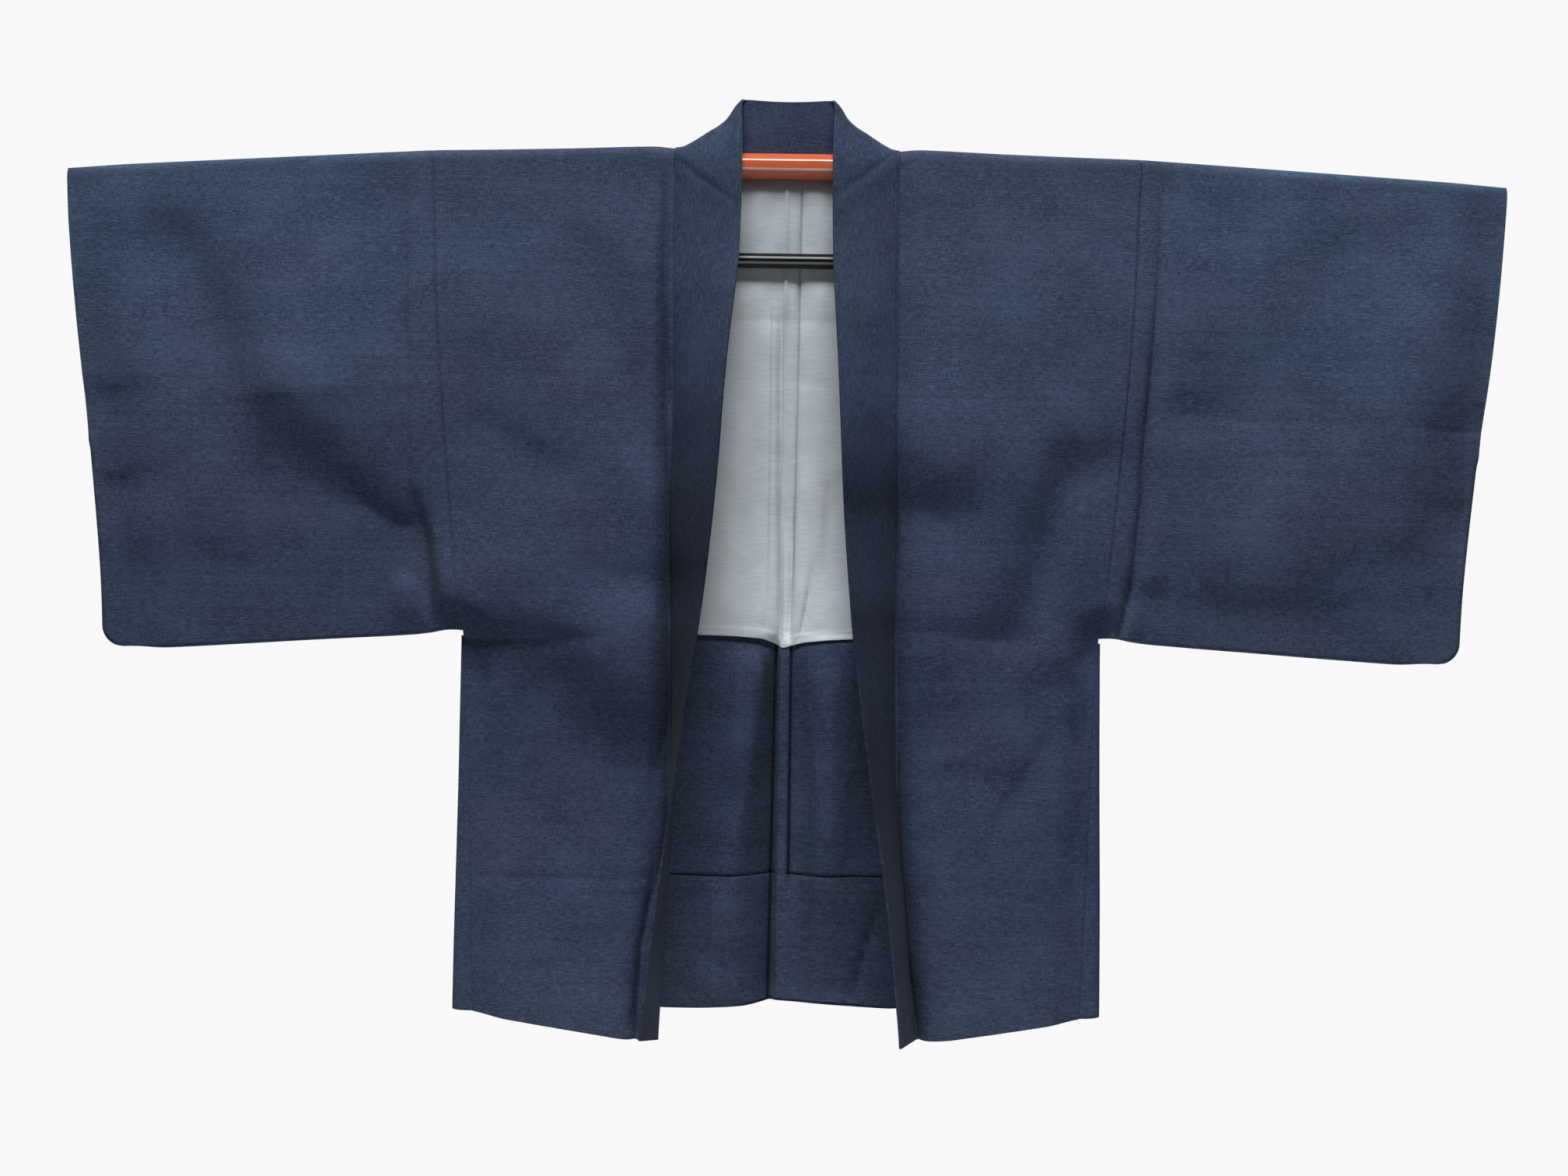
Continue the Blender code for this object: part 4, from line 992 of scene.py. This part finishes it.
def eight_sided(height, depth, face, ridge):
    """The corners of a bar's section, as (y, z) from its centre."""
    tall, wide = height / 2, depth / 2
    return [(-wide, -face / 2), (-wide, face / 2), (-ridge / 2, tall), (ridge / 2, tall),
            (wide, face / 2), (wide, -face / 2), (ridge / 2, -tall), (-ridge / 2, -tall)]


def make_bar(name, section, path, drop, rounding, finish, nodes):
    """A bar extruded along its path, with softened ridges."""
    mesh = bmesh.new()
    start = [mesh.verts.new((path[0].x, y, path[0].z - drop + z)) for y, z in section]
    end = mesh.faces.new(start)
    for here, there in zip(path, path[1:]):
        out = bmesh.ops.extrude_face_region(mesh, geom=[end])["geom"]
        moved = [item for item in out if isinstance(item, bmesh.types.BMVert)]
        bmesh.ops.translate(mesh, verts=moved, vec=(there.x - here.x, 0, there.z - here.z))
        old, end = end, next(item for item in out if isinstance(item, bmesh.types.BMFace))
        if here is not path[0]:
            bmesh.ops.delete(mesh, geom=[old], context="FACES_ONLY")
    bmesh.ops.recalc_face_normals(mesh, faces=mesh.faces)
    ridges = [edge for edge in mesh.edges if edge.calc_face_angle(0.0) > math.radians(20)]
    bmesh.ops.bevel(mesh, geom=ridges, offset=rounding, segments=3, profile=0.5, affect="EDGES",
                    material=-1)
    piece = finish_piece(name, mesh, finish)
    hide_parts(*nodes)


def new_material(name, colour, roughness, **sockets):
    """A material with its uniform values on the shader's own sockets."""
    made = bpy.data.materials.new(name)
    made.use_nodes = True
    shader = made.node_tree.nodes["Principled BSDF"]
    shader.inputs["Base Color"].default_value = (*colour, 1.0)
    shader.inputs["Roughness"].default_value = roughness
    for socket, value in sockets.items():
        shader.inputs[socket.replace("_", " ")].default_value = value
    return made, made.node_tree, shader


def add_node(tree, kind, settings=(), **inputs):
    """Adds a node with its fields and its inputs, by name with _ for a space, or by i and their number."""
    made = tree.nodes.new(kind)
    for field, value in dict(settings).items():
        setattr(made, field, value)
    for name, value in inputs.items():
        numbered = name[0] == "i" and name[1:].isdigit()
        socket = made.inputs[int(name[1:]) if numbered else name.replace("_", " ")]
        if isinstance(value, bpy.types.NodeSocket):
            tree.links.new(value, socket)
        else:
            socket.default_value = value
    return made


def math_node(tree, operation, a, b):
    return add_node(tree, "ShaderNodeMath", {"operation": operation}, i0=a, i1=b).outputs[0]


def product(tree, first, *others):
    for other in others:
        first = math_node(tree, "MULTIPLY", first, other)
    return first


def weighted_sum(tree, *terms):
    """Adds up values, each times its weight."""
    total, *others = [product(tree, value, weight) for value, weight in terms]
    for other in others:
        total = math_node(tree, "ADD", total, other)
    return total


def blend(tree, much, first, second, kind="MIX"):
    """Goes from the first colour to the second, or to their product, as much as given."""
    settings = {"data_type": "RGBA", "blend_type": kind}
    return add_node(tree, "ShaderNodeMix", settings, i0=much, i6=first, i7=second).outputs[2]


def tinted(tree, colour, much, tint):
    """The colour times a tint, as much as given."""
    return blend(tree, much, colour, (*tint, 1), "MULTIPLY")


def cloth_place(tree):
    """The place on the flat cloth."""
    return add_node(tree, "ShaderNodeUVMap", {"uv_map": "cloth"}).outputs[0]


def jacket_place(tree):
    """The place in the jacket's frame, whole and as its x, y and z."""
    place = add_node(tree, "ShaderNodeTexCoord").outputs["Object"]
    return place, add_node(tree, "ShaderNodeSeparateXYZ", (), Vector=place).outputs


def noise_node(tree, place, scale, detail):
    return add_node(tree, "ShaderNodeTexNoise", (), Vector=place, Scale=scale, Detail=detail).outputs["Fac"]


def cloth_noise(tree, place, across, along, detail=1.0, seed=0.0):
    """Noise over the cloth whose grains are so long across and along it, in metres."""
    scaled = add_node(tree, "ShaderNodeMapping", (), Vector=place, Scale=(1 / across, 1 / along, 1.0),
                      Location=(seed, seed * 0.37, seed))
    return noise_node(tree, scaled.outputs[0], 1.0, detail)


def fade_node(tree, value, start, end):
    """Goes from 0 to 1 between two values."""
    return add_node(tree, "ShaderNodeMapRange", (), Value=value, From_Min=start, From_Max=end).outputs[0]


def near_node(tree, value, at, half):
    """1 where a value is within about half of a given one, 0 elsewhere."""
    off = math_node(tree, "ABSOLUTE", math_node(tree, "SUBTRACT", value, at), 0.0)
    return fade_node(tree, off, half * 1.5, half * 0.5)


def patch(tree, *fades):
    """1 on a patch of the cloth. Each value fades in there between its two limits."""
    return product(tree, *(fade_node(tree, value, start, end) for value, start, end in fades))


def roughen(tree, shader, height, strength, distance):
    """Gives the surface a fine relief."""
    bump = add_node(tree, "ShaderNodeBump", (), Strength=strength, Distance=distance, Height=height)
    tree.links.new(bump.outputs[0], shader.inputs["Normal"])


def paint_inside_shade(tree, colour, x, y, z):
    """Painted shade: the back's inside is made a little darker than its right side, more on its left half
    and most of all beside the centre seam, with two thin painted seam shadows.
    """
    normal = add_node(tree, "ShaderNodeNewGeometry").outputs["Normal"]
    facing = add_node(tree, "ShaderNodeSeparateXYZ", (), Vector=normal).outputs[1]
    inside = patch(tree, (facing, 0.0, -0.3), (y, 0.0, 0.002))
    left = fade_node(tree, x, 0.004, 0.030)
    beside = patch(tree, (x, -0.042, -0.008), (x, -0.004, -0.006))
    slant = product(tree, math_node(tree, "ADD", z, 0.56), 0.012)
    right_shadow_line = near_node(tree, math_node(tree, "SUBTRACT", x, slant), -0.0054, 0.0015)
    left_shadow_line = product(tree, near_node(tree, x, 0.0101, 0.0014), fade_node(tree, z, -0.690, -0.684))
    # Each tint below is painted shade in the hollow behind the front.
    colour = tinted(tree, colour, inside, (0.89, 0.88, 0.88))
    for where, tint in ((left, (0.87, 0.87, 0.88)), (beside, (0.70, 0.69, 0.70)),
                        (right_shadow_line, SEAM_SHADOW), (left_shadow_line, SEAM_SHADOW)):
        colour = tinted(tree, colour, product(tree, inside, where), tint)
    return colour


def paint_light_and_shade_by_height(tree, colour, x, y, z):
    """Painted light makes the sleeves' tops a little paler, and painted shade makes the front deeper in
    colour lower down, on the body and the right sleeve.
    """
    across = math_node(tree, "ABSOLUTE", x, 0.0)
    # Painted light on the sleeves' tops.
    colour = tinted(tree, colour, patch(tree, (across, 0.30, 0.44), (z, -0.27, -0.09)), (1.07, 1.19, 1.19))
    # Painted shade on the lower front.
    low = patch(tree, (y, 0.002, -0.002), (z, -0.20, -0.42), (z, -0.835, -0.70))
    body = product(tree, low, fade_node(tree, across, 0.345, 0.300))
    sleeve = product(tree, low, fade_node(tree, x, -0.300, -0.345))
    colour = tinted(tree, colour, body, (0.84, 0.83, 0.87))
    return tinted(tree, colour, sleeve, (0.86, 0.84, 0.88))


def paint_collar_shade(tree, colour, x, z):
    """Painted shade: the collar is made darker where it is turned outward, less so again near the hem, and
    darker still on its right side partway down.
    """
    # Painted shade of the turned band, lifted again near the hem, then more painted shade on the right
    # side.
    colour = tinted(tree, colour, fade_node(tree, z, -0.20, -0.44), (0.61, 0.57, 0.58))
    colour = tinted(tree, colour, fade_node(tree, z, -0.60, -0.74), (1.40, 1.40, 1.38))
    right = patch(tree, (x, 0.01, -0.01), (z, -0.225, -0.31), (z, -0.68, -0.56))
    return tinted(tree, colour, right, (0.66, 0.64, 0.65))


def woven_cloth(name, dark, light, turned=False):
    """Matt cloth of uneven yarns: short light and dark dashes both ways, thicker slubs and soft patches,
    with painted light and shade by place on the jacket.
    """
    made, tree, shader = new_material(name, dark, 0.92, Sheen_Weight=0.02, Sheen_Roughness=0.5,
                                      Specular_IOR_Level=0.08)
    place = cloth_place(tree)
    if turned:
        quarter = (0, 0, math.pi / 2)
        place = add_node(tree, "ShaderNodeMapping", (), Vector=place, Rotation=quarter).outputs[0]
    weft = cloth_noise(tree, place, 0.0062, 0.0011, 1.5, 1.0)
    warp = cloth_noise(tree, place, 0.0011, 0.0062, 1.5, 2.0)
    grain = cloth_noise(tree, place, 0.0010, 0.0010, 0.0, 3.0)
    bars = cloth_noise(tree, place, 0.300, 0.0050, 2.0, 4.0)
    patches = cloth_noise(tree, place, 0.060, 0.050, 2.0, 5.0)
    slubs = fade_node(tree, cloth_noise(tree, place, 0.0110, 0.0012, 0.0, 6.0), 0.63, 0.78)
    dye = fade_node(tree, cloth_noise(tree, place, 0.150, 0.110, 1.0, 7.0), 0.36, 0.64)
    weave = weighted_sum(tree, (weft, 0.42), (warp, 0.34), (grain, 0.24))
    bars, patches = (math_node(tree, "SUBTRACT", value, 0.5) for value in (bars, patches))
    barred = 0.04 if turned else 0.12
    tone = weighted_sum(tree, (weave, 1.0), (bars, barred), (patches, 0.22), (slubs, 0.22))
    colour = blend(tree, fade_node(tree, tone, 0.385, 0.635), (*dark, 1), (*light, 1))
    tint = blend(tree, dye, (0.96, 1.02, 1.02, 1), (1.045, 0.975, 0.99, 1))
    colour = blend(tree, 1.0, colour, tint, "MULTIPLY")
    x, y, z = jacket_place(tree)[1]
    # Painted light and shade, placed by height and side on the jacket.
    if turned:
        colour = paint_collar_shade(tree, colour, x, z)
    else:
        colour = paint_light_and_shade_by_height(tree, paint_inside_shade(tree, colour, x, y, z), x, y, z)
    tree.links.new(colour, shader.inputs["Base Color"])
    roughen(tree, shader, weave, 0.5, 0.0004)
    return made


def lining_cloth(name):
    """Thin smooth lining with a soft sheen, and a few thin darker lines along the centre seam, which are
    painted shade of its crease and pleats.
    """
    made, tree, shader = new_material(name, (0.48, 0.52, 0.55), 0.45, Sheen_Weight=0.05,
                                      Specular_IOR_Level=0.3)
    place = cloth_place(tree)
    threads = cloth_noise(tree, place, 0.0005, 0.0060, 1.0, 1.0)
    wefts = fade_node(tree, cloth_noise(tree, place, 0.0150, 0.0012, 1.5, 2.0), 0.34, 0.66)
    patches = cloth_noise(tree, place, 0.020, 0.050, 2.0, 3.0)
    tone = weighted_sum(tree, (threads, 0.2), (wefts, 0.5), (patches, 0.3))
    colour = blend(tree, tone, (0.430, 0.477, 0.511, 1), (0.602, 0.650, 0.690, 1))
    x, y, z = jacket_place(tree)[1]
    inner = patch(tree, (z, -0.43, -0.38), (z, -0.020, -0.040))
    lower = product(tree, inner, fade_node(tree, z, -0.13, -0.16))
    slanted = math_node(tree, "SUBTRACT", x, product(tree, z, 0.0088))
    # Painted shade: thin dark lines along the seam crease and two pleats.
    for where, value, at, half, tint in ((inner, slanted, 0.0146, 0.0010, (0.62, 0.63, 0.66)),
                                         (lower, x, -0.0015, 0.0009, (0.80, 0.81, 0.83)),
                                         (lower, x, -0.0130, 0.0012, (0.84, 0.85, 0.86))):
        colour = tinted(tree, colour, product(tree, where, near_node(tree, value, at, half)), tint)
    tree.links.new(colour, shader.inputs["Base Color"])
    roughen(tree, shader, threads, 0.25, 0.0001)
    return made


def moulded_plastic(name, colour, roughness, gleam, ridges, highlight_colour):
    """Moulded plastic with painted highlights: paler, streaky lines along its ridges, each given as a
    height and half a width.
    """
    made, tree, shader = new_material(name, colour, roughness, Specular_IOR_Level=gleam,
                                      Coat_Weight=gleam / 5, Coat_Roughness=0.12)
    place, (_, _, height) = jacket_place(tree)
    fine = noise_node(tree, place, 900.0, 2.0)
    streaks = add_node(tree, "ShaderNodeMapping", (), Vector=place, Scale=(20.0, 400.0, 400.0)).outputs[0]
    streaks = noise_node(tree, streaks, 1.0, 2.0)
    # Painted highlight lines along the ridges.
    painted_highlight = 0.0
    for at, half in ridges:
        painted_highlight = math_node(tree, "MAXIMUM", painted_highlight, near_node(tree, height, at, half))
    painted_highlight = product(tree, painted_highlight, math_node(tree, "ADD", product(tree, streaks, 0.8), 0.45))
    tree.links.new(blend(tree, painted_highlight, (*colour, 1), (*highlight_colour, 1)), shader.inputs["Base Color"])
    rough = add_node(tree, "ShaderNodeMapRange", (), Value=fine, To_Min=roughness - 0.06,
                     To_Max=roughness + 0.08)
    tree.links.new(rough.outputs[0], shader.inputs["Roughness"])
    roughen(tree, shader, fine, 0.12, 0.0001)
    return made


def make_hanger(orange, black):
    """The upper bar with its drooping arms, the rail, and the strips between them."""
    bar = eight_sided(BAR_HEIGHT, BAR_DEPTH, BAR_FACE, BAR_RIDGE)
    rail = eight_sided(RAIL_HEIGHT, RAIL_DEPTH, RAIL_FACE, RAIL_RIDGE)
    path = [Bend(-bend.x, bend.z) for bend in reversed(ARM_BENDS)] + ARM_BENDS
    make_bar("hanger", bar, path, BAR_HEIGHT / 2, 0.0012, orange,
             ["hanger_bar", "hanger_arm_left", "hanger_arm_right"])
    ends = [Bend(-RAIL_HALF, RAIL_TOP), Bend(RAIL_HALF, RAIL_TOP)]
    make_bar("belt_rail", rail, ends, RAIL_HEIGHT / 2, 0.0008, black, ["hanger_rail"])
    for side in SIGN:
        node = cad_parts[f"hanger_link_{side}"]
        node.data.materials.clear()
        node.data.materials.append(black)


def set_up_studio():
    """A pale floor, soft light from the front and above, and the camera."""
    scene = bpy.context.scene
    scene.view_settings.view_transform = "Standard"
    world = bpy.data.worlds.new("studio")
    scene.world = world
    world.use_nodes = True
    tree = world.node_tree
    background = tree.nodes["Background"]
    background.inputs["Color"].default_value = (0.95, 0.97, 1.0, 1)
    background.inputs["Strength"].default_value = 0.035
    backdrop = add_node(tree, "ShaderNodeBackground", (), Color=(0.94, 0.94, 0.94, 1), Strength=1.0)
    seen = add_node(tree, "ShaderNodeLightPath").outputs["Is Camera Ray"]
    both = add_node(tree, "ShaderNodeMixShader", (), i0=seen, i1=background.outputs[0],
                    i2=backdrop.outputs[0])
    tree.links.new(both.outputs[0], tree.nodes["World Output"].inputs[0])

    mesh = bmesh.new()
    bmesh.ops.create_circle(mesh, cap_ends=True, segments=96, radius=1.5)
    bmesh.ops.translate(mesh, verts=mesh.verts, vec=(0, 0, FLOOR_Z))
    data = bpy.data.meshes.new("floor")
    mesh.to_mesh(data)
    mesh.free()
    floor = bpy.data.objects.new("floor", data)
    scene.collection.objects.link(floor)
    data.materials.append(new_material("pale floor", (0.80, 0.80, 0.79), 0.9)[0])

    for name, place, power, wide, tall in LAMPS:
        lamp = bpy.data.lights.new(name, "AREA")
        lamp.shape = "RECTANGLE"
        lamp.energy = power
        lamp.size = wide
        lamp.size_y = tall
        light = bpy.data.objects.new(name, lamp)
        light.location = place
        light.rotation_euler = (Vector(LAMPS_AIM) - Vector(place)).to_track_quat("-Z", "Y").to_euler()
        scene.collection.objects.link(light)

    lens = bpy.data.cameras.new("camera")
    lens.sensor_width = 36
    lens.lens = LENS
    camera = bpy.data.objects.new("camera", lens)
    camera.location = CAMERA_PLACE
    camera.rotation_euler = (math.radians(90), math.radians(CAMERA_ROLL), 0)
    scene.collection.objects.link(camera)
    scene.camera = camera


def main():
    set_up_studio()
    navy = woven_cloth("navy cloth", (0.0245, 0.0350, 0.0640), (0.0640, 0.0870, 0.1440))
    # The collar's cloth is the navy made darker: painted shade of the turned band.
    band = woven_cloth("navy collar cloth", (0.020, 0.030, 0.055), (0.050, 0.070, 0.120), turned=True)
    grey = lining_cloth("grey lining")
    middle, edge = -BAR_HEIGHT / 2, BAR_FACE / 2
    # The last colour of each plastic is its painted highlight along the ridges.
    orange = moulded_plastic("orange plastic", (0.54, 0.105, 0.042), 0.26, 0.3,
                             [(middle + edge, 0.0007), (middle - edge, 0.0009)], (0.98, 0.74, 0.64))
    black = moulded_plastic("black plastic", (0.007, 0.007, 0.008), 0.22, 0.10,
                            [(RAIL_TOP - 0.0044, 0.0010), (RAIL_TOP - 0.0096, 0.0009)], (0.30, 0.305, 0.31))
    make_hanger(orange, black)
    for side in SIGN:
        make_body(side, navy)
        make_sleeve(side, navy)
        make_gusset(side, navy)
        make_linings(side, grey, navy)
    make_collar(band)
    make_seam_strip(navy)


main()
